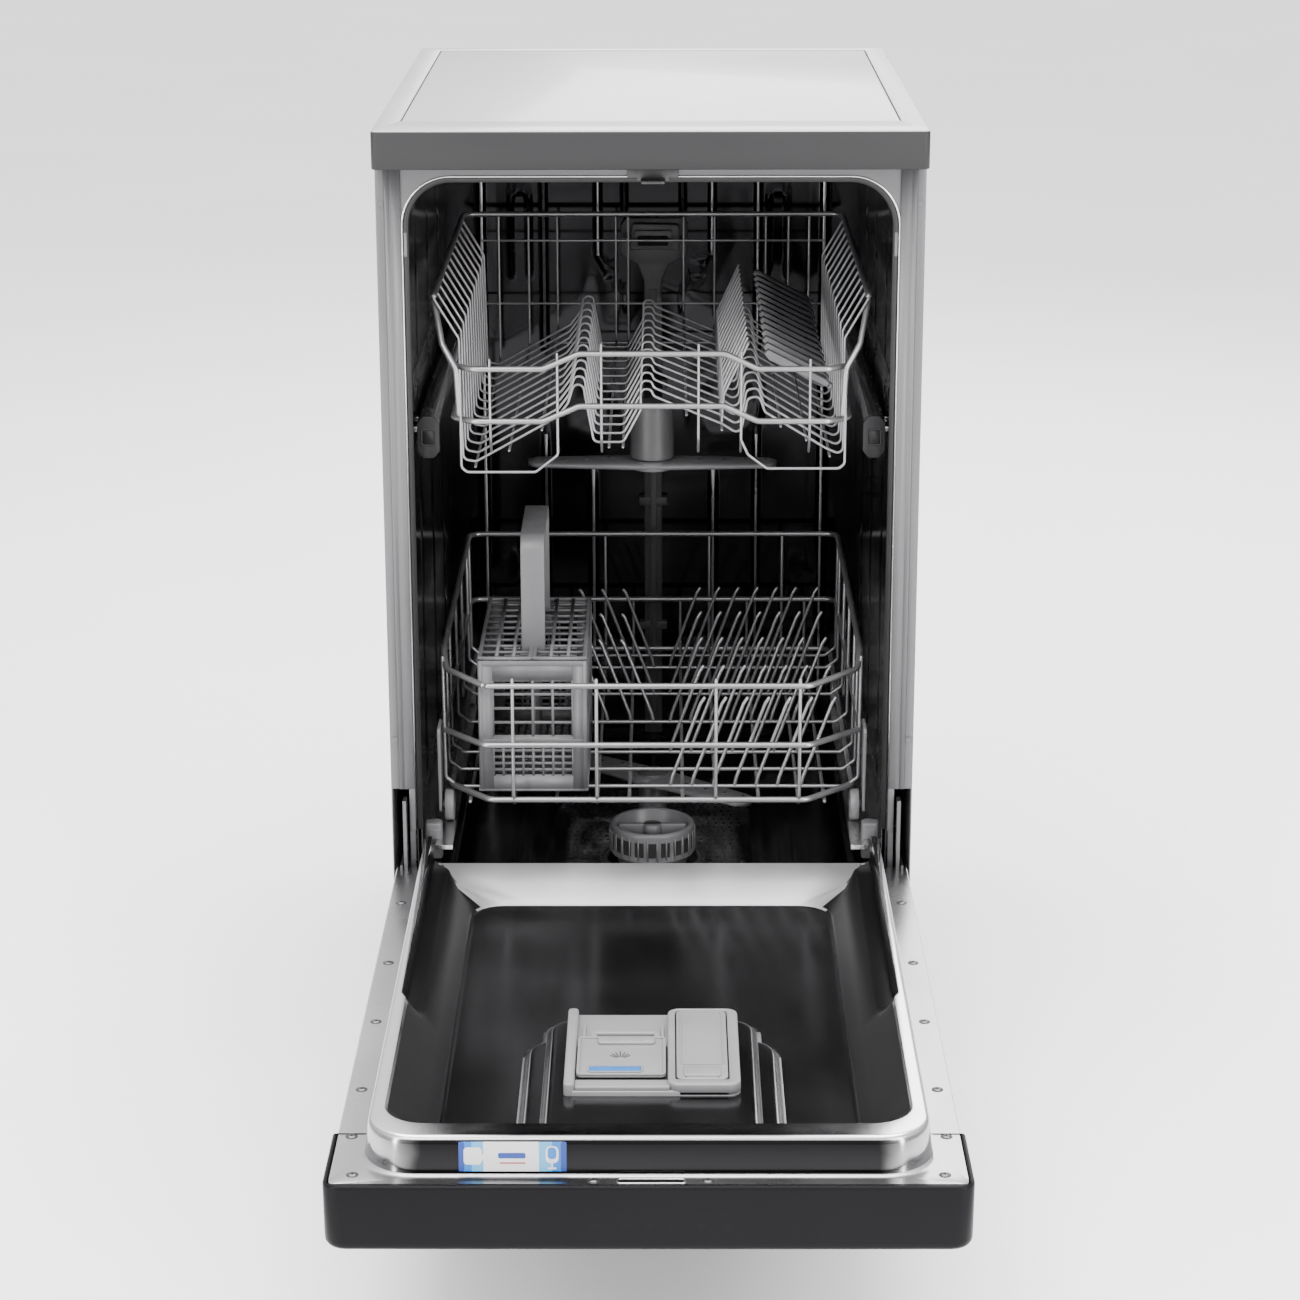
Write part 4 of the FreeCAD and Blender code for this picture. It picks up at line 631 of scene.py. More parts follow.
def bell(distance, width):
    """1 in the middle of a rib and 0 beyond its width, with round shoulders."""
    part = min(abs(distance) / width, 1)
    return (1 + math.cos(math.pi * part)) / 2


def within(value, low, high, soft):
    """1 inside a stretch and 0 outside it, easing over a soft length."""
    def ease(t):
        t = max(0, min(1, t))
        return t * t * (3 - 2 * t)
    return ease((value - low) / soft + 0.5) * ease((high - value) / soft + 0.5)


def fine_steps(low, high, coarse, centers, reach, step):
    """Places from low to high, coarse between and fine round the centers."""
    count = max(2, round((high - low) / coarse))
    places = {round(low + (high - low) * index / count, 3) for index in range(count + 1)}
    for center in centers:
        offset = -reach
        while offset <= reach + 0.001:
            if low < center + offset < high:
                places.add(round(center + offset, 3))
            offset += step
    kept = []
    for place in sorted(places):
        if not kept or place - kept[-1] > 0.35:
            kept.append(place)
    return kept


def arch(half, top, radius, bottom, steps=12):
    """The way up a left wall, over the ceiling and down the right one: x, z and the outward way."""
    path = [(-half, bottom, -1, 0), (-half, top - radius, -1, 0)]
    for step in range(1, steps):
        angle = math.pi - step / steps * math.pi / 2
        path.append((-half + radius + radius * math.cos(angle), top - radius + radius * math.sin(angle),
                     math.cos(angle), math.sin(angle)))
    path += [(-half + radius, top, 0, 1), (half - radius, top, 0, 1)]
    for step in range(1, steps):
        angle = math.pi / 2 - step / steps * math.pi / 2
        path.append((half - radius + radius * math.cos(angle), top - radius + radius * math.sin(angle),
                     math.cos(angle), math.sin(angle)))
    return path + [(half, top - radius, 1, 0), (half, bottom, 1, 0)]


def along_arch(path, section):
    """A closed section of (outward, y) pairs swept along an arch."""
    loops = [[(x + nx * out, y, z + nz * out) for out, y in section] for x, z, nx, nz in path]
    return tidy(loft(loops, cap_start=True, cap_end=True))


def tub_bottom(y):
    """Height of the tub's floor sheet at a depth, sloping down from the front lip."""
    lip_y, lip_z = TUB["lip"]
    end_y, end_z = TUB["slope_end"]
    if y >= end_y:
        return end_z
    return lip_z + (end_z - lip_z) * (y - lip_y) / (end_y - lip_y)


def make_tub_walls():
    """Side walls and ceiling in one sheet, with pressed ribs."""
    half, top, radius = TUB["half"], TUB["top"], TUB["corner"]
    front, back = extent("tub_wrap")[0][1], extent("tub_wrap")[1][1]
    ribs = (118, 255, 392, 500)
    depths = fine_steps(front, back, 20, ribs, 12, 2.4)
    ceiling = (-120, -40, 40, 120)
    heights = fine_steps(top - radius - 620, top - radius, 24, (238, 262, 612, 640, 700), 10, 2.5)
    loops = []
    for y in depths:
        low = tub_bottom(y)
        path = []
        for z in heights:
            place = max(z, low)
            out = 2.6 * max(bell(y - rib, 11) for rib in ribs) * within(place, 268, 724, 30)
            out += 2.2 * bell(place - 626, 15) * within(y, 70, 520, 30)
            out += 1.6 * bell(place - 250, 13) * within(y, 90, 530, 20)
            path.append((-half, place, -1, 0, out))
        curve = arch(half, top, radius, low)[2:-2]
        for x, z, nx, nz in curve:
            out = 2.2 * max(bell(x - rib, 12) for rib in ceiling) * (nz > 0.99) * within(y, 80, 520, 20)
            path.append((x, z, nx, nz, out))
            if abs(x + half - radius) < 0.01:
                for step in fine_steps(x + 4, half - radius - 4, 30, ceiling, 12, 3):
                    raised = 2.2 * max(bell(step - rib, 12) for rib in ceiling) * within(y, 80, 520, 20)
                    path.append((step, top, 0, 1, raised))
        path += [(-x, z, -nx, nz, out) for x, z, nx, nz, out in path[:len(heights)][::-1]]
        loops.append([(x + nx * out, y, z + nz * out) for x, z, nx, nz, out in path])
    mesh = loft(loops, closed=False)
    piece = link("tub_walls", mesh, ["tub_steel", "rib_steel"], "cabinet", ["tub_wrap"])
    # Faces on the rib crests take the paler rib steel: painted highlight.
    for face in piece.data.polygons:
        middle = face.center / MM
        if max(abs(middle.x) - half, middle.z - top) > 1.5:
            face.material_index = 1
    thicken(piece, 1)


def thicken(piece, way):
    """Gives a sheet its thickness. way 1 grows along its normals and -1 against them."""
    shell = piece.modifiers.new("thickness", "SOLIDIFY")
    shell.thickness = SHEET * MM
    shell.offset = way
    mesh_of(piece)
    piece.data.shade_smooth()
    piece.data.set_sharp_from_angle(angle=SHARP)


def make_tub_back():
    """The rear wall with its straight ribs, long loops and round beads."""
    low, high = extent("tub_back")
    face = low[1]
    ribs = [(-107, 560, 760, 5), (-54, 652, 775, 5), (-28, 694, 775, 4), (29, 694, 775, 4),
            (58, 652, 775, 5), (103, 560, 760, 5), (-168, 200, 760, 6), (168, 200, 760, 6),
            (-107, 250, 470, 5), (103, 250, 470, 5), (-60, 235, 430, 6), (60, 235, 430, 6)]
    loops_of = [(-130, 632, 706, 9), (122, 632, 706, 9)]
    rings = [(-62, 500, 30), (72, 505, 34), (150, 330, 16), (-150, 330, 16)]
    xs = fine_steps(low[0], high[0], 12, [rib[0] for rib in ribs] + [p[0] - p[3] for p in loops_of]
                    + [p[0] + p[3] for p in loops_of], 6, 1.5)
    zs = fine_steps(low[2], high[2], 12, [706, 632, 652, 694, 560, 775], 9, 3)

    def forward(x, z):
        push = 0
        for place, start, end, width in ribs:
            push = max(push, 3.4 * bell(x - place, width) * within(z, start, end, 14))
        for middle, start, end, reach in loops_of:
            push = max(push, 2.4 * bell(abs(x - middle) - reach, 4) * within(z, start, end + reach, 8))
            away = math.hypot(x - middle, z - end)
            if z > end:
                push = max(push, 2.4 * bell(away - reach, 4))
        for cx, cz, size in rings:
            push = max(push, 1.8 * bell(math.hypot(x - cx, z - cz) - size, 9))
        for way in (-1, 1):
            slant = (x * way - 54 + (652 - z) * 0.62)
            push = max(push, 2.4 * bell(slant * 0.85, 5) * within(z, 612, 654, 8))
        return push
    loops = [[(x, face - forward(x, z), z) for x in xs] for z in zs]
    piece = link("tub_rear_wall", loft(loops, closed=False), ["back_steel", "rib_steel"], "cabinet",
                 ["tub_back"])
    # Faces on the rib crests take the paler rib steel: painted highlight.
    for poly in piece.data.polygons:
        middle = poly.center / MM
        if any(abs(middle.x - place) < 1.8 and start < middle.z < end for place, start, end, _ in ribs):
            poly.material_index = 1
    thicken(piece, -1)


def make_tub_floor():
    """The basin, falling from the lip to the filter."""
    half = TUB["half"]
    lip_y, lip_z = TUB["lip"]
    back = extent("tub_back")[0][1]
    xs = fine_steps(-half, half, 14, (-half + 12, half - 12, -95, 95, 0), 14, 3.5)
    ys = fine_steps(lip_y, back, 14, (lip_y + 6, 150, 160, 385, back - 10), 14, 3.5)

    def height(x, y):
        z = tub_bottom(y) if y < 150 else 150
        z += 14 * bell(half - abs(x), 26) ** 2 * max(0, min(1, (y - 60) / 25))
        z += 16 * bell(back - y, 28) ** 2
        rise = 7 * (1 - within(abs(x), -1, 110, 30)) * within(y, 140, back - 20, 60)
        rise += 5 * within(y, 400, back - 20, 40)
        z += rise
        z += 4 * bell(abs(x) - 60, 40) * within(y, 70, 130, 30)
        return max(z, 150.0 if y > 150 else 0) if y > lip_y + 4 else lip_z
    loops = [[(x, y, height(x, y)) for x in xs] for y in ys]
    loops.insert(0, [(x, lip_y, lip_z - 8) for x in xs])
    piece = link("tub_basin", loft(loops, closed=False), "tub_steel", "cabinet", ["tub_floor"])
    thicken(piece, -1)


def make_front():
    """Mouth of the tub: rolled edge, rubber seal, trims and the striker."""
    low, _ = extent("tub_front_frame")
    mouth = extent("door_gasket")[1]
    half, top = mouth[0], mouth[2]
    edge = [(0.9 * math.cos(k * math.pi / 5) + 0.7, low[1] - 0.1 + 0.9 * math.sin(k * math.pi / 5))
            for k in range(10)]
    rolled = along_arch(arch(half, top, 40, 200), edge)
    link("mouth_rolled_edge", rolled, "bright_steel", "cabinet")
    g0 = extent("door_gasket")[0][1]
    section = rounded([(-0.2, g0), (-0.2, g0 + 10), (-2.6, g0 + 10.3), (-3.4, g0 + 7.4), (-4.8, g0 + 5.2),
                       (-4.6, g0 + 2.2), (-2.2, g0 + 0.2)], 1.1, 3)
    seal = along_arch(arch(half, top, 40, extent("door_gasket")[0][2]), section)
    link("door_seal_lip", seal, "rubber", "cabinet", ["door_gasket"])
    (x0, y0, z0), (x1, y1, z1) = extent("front_trims")
    trims = []
    for sign in (-1, 1):
        def fluted(inner, outer, bottom, upper):
            pair = [(inner, y1), (outer, y1), (outer, y0 + 0.5), (outer - 0.8, y0), (outer - 3.6, y0),
                    (outer - 4.1, y0 + 0.7), (outer - 4.7, y0 + 0.7), (outer - 5.2, y0), (inner + 0.9, y0),
                    (inner, y0 + 0.7)]
            outline = [(sign * a, b) for a, b in pair]
            return prism(outline, bottom, upper, "z")
        trims.append(fluted(204.5, x1, TRIM_FOOT, z1))
        trims.append(prism(rect(sign * 204.5, sign * 209.5, y0, y1),
                           z0, TRIM_FOOT, "z", bevel=0.5))
    link("front_trim_strips", join(trims), "trim", "cabinet", ["front_trims"])
    (x0, y0, z0), (x1, y1, z1) = extent("door_seal_lower")
    outline = rounded([(y0, z0), (y1, z0), (y1, z1), (y0 - 0.6, z1 + 0.2), (y0 - 0.6, z1)], 0.4)
    link("lower_seal_strip", prism(outline, x0, x1, "x"), "rubber", "cabinet", ["door_seal_lower"])
    (x0, y0, z0), (x1, y1, z1) = extent("door_catch")
    plate = slab((x0 - 8, y1 - 1.6, z0 + 2.5), (x1 + 8, y1, z1), 0.6)
    base = slab((x0, y1 - 2.3, z0 + 0.2), (x1, y1 - 1.6, z1), 0.3)
    tongue = prism(rounded(rect(x0 + 3, x1 - 3, y0, y1 - 1), 2.5), z0, z0 + 2.5,
                   "z", bevel=0.5)
    link("striker", join([plate, base, tongue]), "dark_plastic", "cabinet", ["door_catch"])
    clips = [slab((sign * 201.6 - 1.4, 34, 742), (sign * 201.6 + 1.4, 43, 762), 0.6) for sign in (-1, 1)]
    link("mouth_clips", join(clips), "grey_plastic", "cabinet")


TUB = {"half": extent("tub_floor")[1][0], "top": extent("tub_wrap")[1][2] - 0.8, "corner": 36.5,
       "lip": (extent("tub_floor")[0][1], extent("tub_floor")[1][2]), "slope_end": (150, 150)}


def make_corner_guides():
    """The moulded guides in the mouth's two lower corners."""
    made = []
    for sign in (-1, 1):
        outline = rounded([(sign * 184, 60.5), (sign * 199, 60.5), (sign * 199, 73), (sign * 188, 76),
                           (sign * 184, 71)], 3)
        made.append(prism(outline, 203, 236, "z", bevel=1.6))
        low, high = sorted((sign * 185.5, sign * 196))
        made.append(slab((low, 59.5, 222), (high, 61.2, 231), 0.6))
    link("mouth_corner_guides", join(made), "grey_plastic", "cabinet")


# ---------------------------------------------------------------- water parts

def make_spray_arm(node, body):
    """A two-winged arm with a raised hub and a row of nozzles."""
    z0, z1 = [limit[2] for limit in extent(node)]
    half, hub = 114, 21
    turn = math.radians(-38 if node.startswith("lower") else -1)
    mid = z0 + (z1 - z0) * 0.45
    stations = []
    for step in range(33):
        s = -half + 2 * half * step / 32
        a = abs(s)
        width = 21 - 7 * (a / half)
        width = max(width, math.sqrt(max(hub ** 2 - s * s, 0)) if a < hub else 0)
        if a > half - 10:
            width *= math.sqrt(max(1 - ((a - (half - 10)) / 10.5) ** 2, 0.02))
        stations.append((s, width))
    loops = []
    for s, width in stations:
        crown = 4.4 * (1 - 0.3 * abs(s) / half)
        ring = []
        for k in range(16):
            angle = 2 * math.pi * k / 16
            across = width * math.copysign(abs(math.cos(angle)) ** 0.6, math.cos(angle))
            up = crown * math.copysign(abs(math.sin(angle)) ** 0.8, math.sin(angle))
            ring.append(spun(s, across, mid + up, turn))
        loops.append(ring)
    arm = tidy(loft(loops, cap_start=True, cap_end=True))
    parts = [arm, lathe([(20, z0 + 0.6), (20.4, z0 + 1.4), (20.4, mid + 2.5), (16, mid + 4.6), (9, z1 - 0.4),
                         (7.5, z1)], (0, ARM_Y, 0), "z", 36)]
    holes = []
    for s in (-100, -82, -61, -40, 43, 66, 85, 104):
        across = 5.0 * math.sin(s * 1.7)
        x, y, _ = spun(s, across, 0, turn)
        top = mid + 4.4 * (1 - 0.3 * abs(s) / half) - 0.6
        parts.append(lathe([(3.4, top - 1.4), (3.3, top + 0.5), (2.2, top + 0.9)], (x, y, 0), "z", 16))
        # Each nozzle's hole is a flat black disc: painted shade.
        holes.append(lathe([(1.5, top + 0.55), (1.5, top + 0.98)], (x, y, 0), "z", 12, 1))
    link(node + "_blade", join(parts + holes), ["grey_plastic", "void"], body, [node])


def spun(along, across, z, turn):
    """A place on an arm that lies at a turn about its hub."""
    return (along * math.cos(turn) - across * math.sin(turn),
            ARM_Y + along * math.sin(turn) + across * math.cos(turn), z)


def make_water_parts():
    """Spray arms, duct, filter, hub and salt cap."""
    make_spray_arm("lower_spray_arm", "lower_arm")
    make_spray_arm("upper_spray_arm", "upper_arm")
    (x0, y0, z0), (x1, y1, z1) = extent("feed_duct")
    face = y0 + 14
    half = 9
    outline = [(-half, z0), (half, z0), (half, z1 - 62), (13, z1 - 52), (15, z1 - 46), (34, z1 - 36),
               (34, z1 - 8), (30, z1), (-26, z1), (-32, z1 - 8), (-32, z1 - 36), (-15, z1 - 46),
               (-13, z1 - 52), (-half, z1 - 62)]
    body = prism(rounded(outline, 4, 4), face, y1 - 1.2, "y", bevel=1.2)
    rib = prism(rect(-3.5, 3.5, z0 + 8, z1 - 70), face - 1.4, face + 1, "y",
                bevel=0.6)
    hood = prism(rounded([(-24, z1 - 30), (26, z1 - 30), (26, z1 - 5), (-20, z1 - 4)], 4), y0 + 4, face + 1,
                 "y", bevel=1.0)
    frame = prism(rounded(rect(-18, 19, z1 - 27, z1 - 10), 2.5), y0, y0 + 5, "y",
                  bevel=0.8)
    # The window is a flat black pad: painted shade of the opening.
    window = prism(rounded(rect(-15, 15, z1 - 25, z1 - 15), 2), y0 - 0.25,
                   y0 + 0.4, "y", 1)
    screws = [lathe([(3.2, 0), (3.2, 1.0), (2.4, 1.6)], (x, face - 1.6, z), "y", 16)
              for x, z in ((-26, z1 - 16), (29, z1 - 20))]
    clamps = [slab((-14, face - 1.2, z), (14, y1, z + 9), 1) for z in (270, 400, 520)]
    link("feed_duct_moulding", join([body, rib, hood, frame] + screws + clamps + [window]),
         ["mid_plastic", "void"], "cabinet", ["feed_duct"])

    (x0, y0, z0), (x1, y1, top) = extent("filter_plate")
    outline = rounded([(x0, y0 + 30), (x0 + 24, y0), (x1 - 24, y0), (x1, y0 + 30), (x1, y1 - 30),
                       (x1 - 24, y1), (x0 + 24, y1), (x0, y1 - 30)], 8)
    hole = [(41.5 * math.cos(k * math.pi / 20), FILTER_Y + 41.5 * math.sin(k * math.pi / 20))
            for k in range(40)]
    plate = holed_plate(outline, hole, z0, top - 0.6)
    beads = []
    for row in range(19):
        for column in range(23):
            x = x0 + 12 + column * (x1 - x0 - 24) / 22 + (row % 2) * 1.8
            y = y0 + 16 + row * (y1 - y0 - 30) / 18
            clear = math.hypot(x, y - FILTER_Y) > 50 and math.hypot(x, y - ARM_Y) > 26
            if clear and abs(x) < x1 - 9:
                beads.append((x, y))
    dots = from_dots(beads, top - 0.58, 1.5)
    collar = lathe([(43, top - 1.5), (46.5, top - 1.2), (47, top + 0.6), (45.5, top + 1.2), (42.5, top + 1.2),
                    (41.6, top + 0.6), (41.6, top - 1.5)], (0, FILTER_Y, 0), "z", 48, closed=True)
    link("filter_sheet", join([plate, collar, dots]), ["bright_steel", "void"], "cabinet",
         ["filter_plate"])
    make_filter_cup()
    (x0, y0, z0), (x1, y1, z1) = extent("lower_spray_hub")
    hub = lathe([(20, z0), (20, z0 + 3), (17.5, z0 + 5), (14, z0 + 12), (13, z1 - 8), (14.6, z1 - 6),
                 (14.6, z1 - 1), (13.8, z1)], (0, ARM_Y, 0), "z", 40)
    link("spray_hub_turned", hub, "mid_plastic", "cabinet", ["lower_spray_hub"])
    (x0, y0, z0), (x1, y1, z1) = extent("salt_cap")
    cx, cy = (x0 + x1) / 2, (y0 + y1) / 2
    cap = lathe([(25, z0), (26, z0 + 0.8), (26, z1 - 7), (25, z1 - 5.5), (20, z1 - 5)], (cx, cy, 0), "z", 48)
    ridges = []
    for k in range(24):
        angle = 2 * math.pi * k / 24
        ridges.append(lathe([(0.9, z0 + 1), (0.9, z1 - 6.5)], (cx + 25.7 * math.cos(angle),
                                                               cy + 25.7 * math.sin(angle), 0), "z", 8))
    grip = slab((cx - 20, cy - 4, z1 - 6), (cx + 20, cy + 4, z1), 1.6)
    link("salt_cap_turned", join([cap, grip] + ridges), "mid_plastic", "salt_cap", ["salt_cap"])


def holed_plate(outline, hole, low, high):
    """A flat sheet with one opening, whose rim loops are matched by direction from the opening."""
    cx = sum(x for x, _ in hole) / len(hole)
    cy = sum(y for _, y in hole) / len(hole)
    outer = []
    for x, y in hole:
        dx, dy = x - cx, y - cy
        reach = 1e9
        for index, (ax, ay) in enumerate(outline):
            bx, by = outline[(index + 1) % len(outline)]
            ex, ey = bx - ax, by - ay
            bottom = dx * ey - dy * ex
            if abs(bottom) < 1e-9:
                continue
            t = ((ax - cx) * ey - (ay - cy) * ex) / bottom
            s = ((ax - cx) * dy - (ay - cy) * dx) / bottom
            if t > 0 and -1e-6 <= s <= 1 + 1e-6:
                reach = min(reach, t)
        outer.append((cx + dx * reach, cy + dy * reach))
    loops = [[(x, y, low) for x, y in hole], [(x, y, low) for x, y in outer],
             [(x, y, high) for x, y in outer], [(x, y, high) for x, y in hole],
             [(x, y, low) for x, y in hole]]
    return tidy(loft(loops))


def from_dots(places, z, radius):
    """Small dark eight-sided spots, lying just proud of a level face: painted shade standing for holes."""
    points, faces = [], []
    for x, y in places:
        start = len(points)
        for k in range(8):
            points.append((x + radius * math.cos(k * math.pi / 4), y + radius * math.sin(k * math.pi / 4), z))
        faces.append(tuple(range(start, start + 8)))
    return paint(from_faces(points, faces), 1)


def make_filter_cup():
    """The barred strainer with its cross handle."""
    (x0, y0, z0), (x1, y1, z1) = extent("filter_cup")
    cx, cy = (x0 + x1) / 2, (y0 + y1) / 2
    shell = lathe([(31, z0), (32, z0 + 1), (32, z1 - 30), (35, z1 - 29), (38, z1 - 28), (39, z1 - 26.5),
                   (39, z1 - 3), (38.2, z1 - 0.8), (36.5, z1), (34.5, z1), (33.4, z1 - 1.5),
                   (32.8, z1 - 30), (29, z1 - 32), (29, z0 + 3)], (cx, cy, 0), "z", 64)
    ribs = []
    for k in range(28):
        angle = 2 * math.pi * (k + 0.5) / 28
        x, y = cx + 39.2 * math.cos(angle), cy + 39.2 * math.sin(angle)
        ribs.append(lathe([(0.75, z1 - 25), (0.75, z1 - 5)], (x, y, 0), "z", 6))
    # The slots in the cup's wall are flat black quads: painted shade.
    windows = []
    for k in range(20):
        angle = 2 * math.pi * k / 20
        wide = 0.11
        ring = rect(angle - wide, angle + wide, z1 - 22, z1 - 8)
        points = [(cx + 39.25 * math.cos(a), cy + 39.25 * math.sin(a), z) for a, z in ring]
        windows.append(paint(from_faces(points, [(0, 1, 2, 3)]), 1))
    mesh_dark = join(windows)
    handle = [slab((cx - 31, cy - 3, z1 - 12), (cx + 31, cy + 3, z1 - 2), 1.2),
              lathe([(9, z1 - 14), (9, z1 - 3), (8, z1 - 2)], (cx, cy, 0), "z", 24)]
    link("filter_cup_moulding", join([shell] + ribs + handle + [mesh_dark]), ["grey_plastic", "void"],
         "filter_cup", ["filter_cup"])


# ---------------------------------------------------------------- racks

def make_upper_rack():
    """The upper basket: two front rails, a top ring and rows of thin bent wires."""
    low, high = extent("upper_rack_basket")
    yf, yb, top = low[1] + 2.5, high[1] - 2.0, high[2] - 2
    rail, thin = 2.6, 1.2
    x_out, x_in = 184, 168

    def front_rail(z, x_turn, y_side, x_end):
        step = [(-91, z), (-61, z + 13), (62, z + 13), (90, z)]
        middle = [(x, yf, h) for x, h in step]
        left = [(-x_end, y_side, z + 1), (-x_end, yf + 16, z), (-x_turn, yf, z)]
        right = [(x_turn, yf, z), (x_end, yf + 16, z), (x_end, y_side, z + 1)]
        return left + middle + right
    thick = [front_rail(596, 150, yb, x_in), front_rail(641, 150, yb, x_in)]
    ring = [(-x_out, yf + 33, top - 1), (-x_out, yf + 40, top), (-x_out, yb, top), (x_out, yb, top),
            (x_out, yf + 40, top), (x_out, yf + 33, top - 1)]
    thick.append(ring)
    for sign in (-1, 1):
        thick.append([(sign * 162, yf + 1, 600), (sign * 164, yf + 1, 641), (sign * 176, yf + 11, 660),
                      (sign * x_out, yf + 34, top - 3)])
    fine = [[(-x_in, yb, z), (x_in, yb, z)] for z in (671, 609)]
    fine += [[(-94, yb, 570), (94, yb, 570)]]
    for x in (-136, -79, -42, 40, 76, 134):
        rail_z = 641 + (13 if -61 < x < 62 else 0 if abs(x) > 90 else x_slope(x))
        fine.append([(x, yf - 0.5, rail_z + 9), (x, yf - 0.5, rail_z - 47), (x, yf + 3, 580),
                     (x, yf + 14, 566)])
    fine.append([(-161, yf, 641), (-161, yf, 556), (-156, yf, 552), (-98, yf, 552), (-79, yf, 567),
                 (-79, yf, 650)])
    fine.append([(164, yf, 641), (164, yf, 559), (159, yf, 555), (98, yf, 555), (82, yf, 567), (76, yf, 580),
                 (76, yf, 650)])
    profile = [(-184, 697), (-163, 662), (-161, 557), (-150, 555), (-80, 594), (-71, 606), (-66, 622),
               (-58, 622), (-49, 572), (-24, 572), (-9, 600), (-9, 618), (0, 618), (2, 612), (60, 588),
               (76, 578), (82, 610), (92, 612), (97, 598), (150, 566), (164, 560), (164, 662), (184, 697)]
    y = yf + 26
    while y < yb - 8:
        fine.append([(x, y, z) for x, z in profile])
        y += 33
    for x, z in ((-150, 553), (-121, 567), (-93, 585), (-36, 570), (-24, 570), (30, 598), (60, 585),
                 (110, 588), (132, 576), (152, 562)):
        fine.append([(x, yf + 14, z), (x, yb - 1, z), (x, yb, z + 30), (x, yb, top - 2)])
    y = yf + 38
    tall = []
    while y < yb - 30:
        tall.append([(60, y, 583), (62, y + 2, 610), (83, y + 4, 655)])
        y += 23
    link("upper_rack_thick", join([wires(thick, rail, 11, 10), wires(fine + tall, thin, 5, 7)]), "rack_coat",
         "upper_rack", ["upper_rack_basket"])
    make_rack_sides()
    make_cup_shelf()


def x_slope(x):
    """Rise of the front rail on its two slanting stretches."""
    return 13 * (1 - (abs(x) - 61.5) / 29)


def make_rack_sides():
    """The upper rack's two channel rails with their end caps and wheels."""
    (_, y0, z0), (x1, y1, z1) = extent("upper_rack_rails")
    rails = []
    for sign in (-1, 1):
        outline = [(184.8, z0 + 2), (187.5, z0 + 0.8), (x1 - 3, z0), (x1, z0 + 2.5), (x1, z0 + 8),
                   (x1 - 2.5, z0 + 8), (x1 - 2.5, z0 + 3.2), (x1 - 5, z0 + 3), (x1 - 6, z0 + 7),
                   (x1 - 6, z1 - 7), (x1 - 5, z1 - 3), (x1 - 2.5, z1 - 3.2), (x1 - 2.5, z1 - 8),
                   (x1, z1 - 8), (x1, z1 - 2.5), (x1 - 3, z1), (187.5, z1 - 0.8), (184.8, z1 - 2)]
        pair = [(sign * x, z) for x, z in outline]
        rails.append(prism(pair, y0, y1, "y", bevel=0.3))
    link("slide_rails", join(rails), "bright_steel", "upper_rack", ["upper_rack_rails"])
    (x0, y0, z0), (x1, y1, z1) = extent("rail_end_caps")
    caps = []
    for sign in (-1, 1):
        a, b = 179, x1
        octagon = [(a + 5, z0), (b - 5, z0), (b, z0 + 6), (b, z1 - 6), (b - 5, z1), (a + 5, z1), (a, z1 - 6),
                   (a, z0 + 6)]
        octagon = [(sign * x, z) for x, z in octagon]
        cx, cz = sign * (a + b) / 2, (z0 + z1) / 2
        for start, end, front in ((y0, y0 + 4, y0), (y1 - 4, y1, y1)):
            caps.append(prism(octagon, start, end, "y", bevel=0.7))
            # The cap's square window is a flat black pad: painted shade.
            inner = rounded(rect(cx - 5, cx + 5, cz - 6, cz + 6), 1)
            caps.append(prism(inner, front - 0.25, front + 0.25, "y", 1))
            frame = rounded(rect(cx - 6.5, cx + 6.5, cz - 7.5, cz + 7.5), 1.5)
            proud = front + (0.4 if front == y1 else -0.4)
            loops = [[(x, y, z) for x, z in outline] for outline, y in
                     ((frame, front), (frame, proud), (inner, proud), (inner, front))]
            caps.append(tidy(loft(loops)))
    link("rail_stop_caps", join(caps), ["end_cap", "void"], "upper_rack", ["rail_end_caps"])
    for node in ("upper_wheels_front", "upper_wheels_rear"):
        wheel_pair(node, "mid_plastic")


def wheel_pair(node, material):
    """Two spoked rollers standing on the same cross line."""
    (_, y0, z0), (x1, y1, z1) = extent(node)
    radius = (z1 - z0) / 2
    cy, cz = (y0 + y1) / 2, (z0 + z1) / 2
    meshes = []
    for sign in (-1, 1):
        inner, outer = x1 - (8 if node.startswith("lower") else 7), x1
        a, b = (inner, outer) if sign > 0 else (-outer, -inner)
        profile = [(radius - 2.2, a), (radius - 0.6, a), (radius, a + 0.7), (radius, b - 0.7),
                   (radius - 0.6, b), (radius - 2.2, b), (radius - 2.6, b - 1.2), (radius * 0.42, b - 1.6),
                   (radius * 0.38, b - 0.3), (radius * 0.2, b - 0.3), (radius * 0.2, a + 0.3),
                   (radius * 0.38, a + 0.3), (radius * 0.42, a + 1.6), (radius - 2.6, a + 1.2)]
        meshes.append(lathe(profile, (0, cy, cz), "x", 40, closed=True))
        for k in range(6):
            angle = 2 * math.pi * k / 6
            dy, dz = math.cos(angle), math.sin(angle)
            r0, r1 = radius * 0.4, radius - 2.4
            for x in (a + 0.9, b - 0.9):
                path = [(x, cy + dy * r, cz + dz * r) for r in (r0, r1)]
                meshes.append(wires([path], 0.8, 0, 6))
    link(node + "_rollers", join(meshes), material, node, [node])


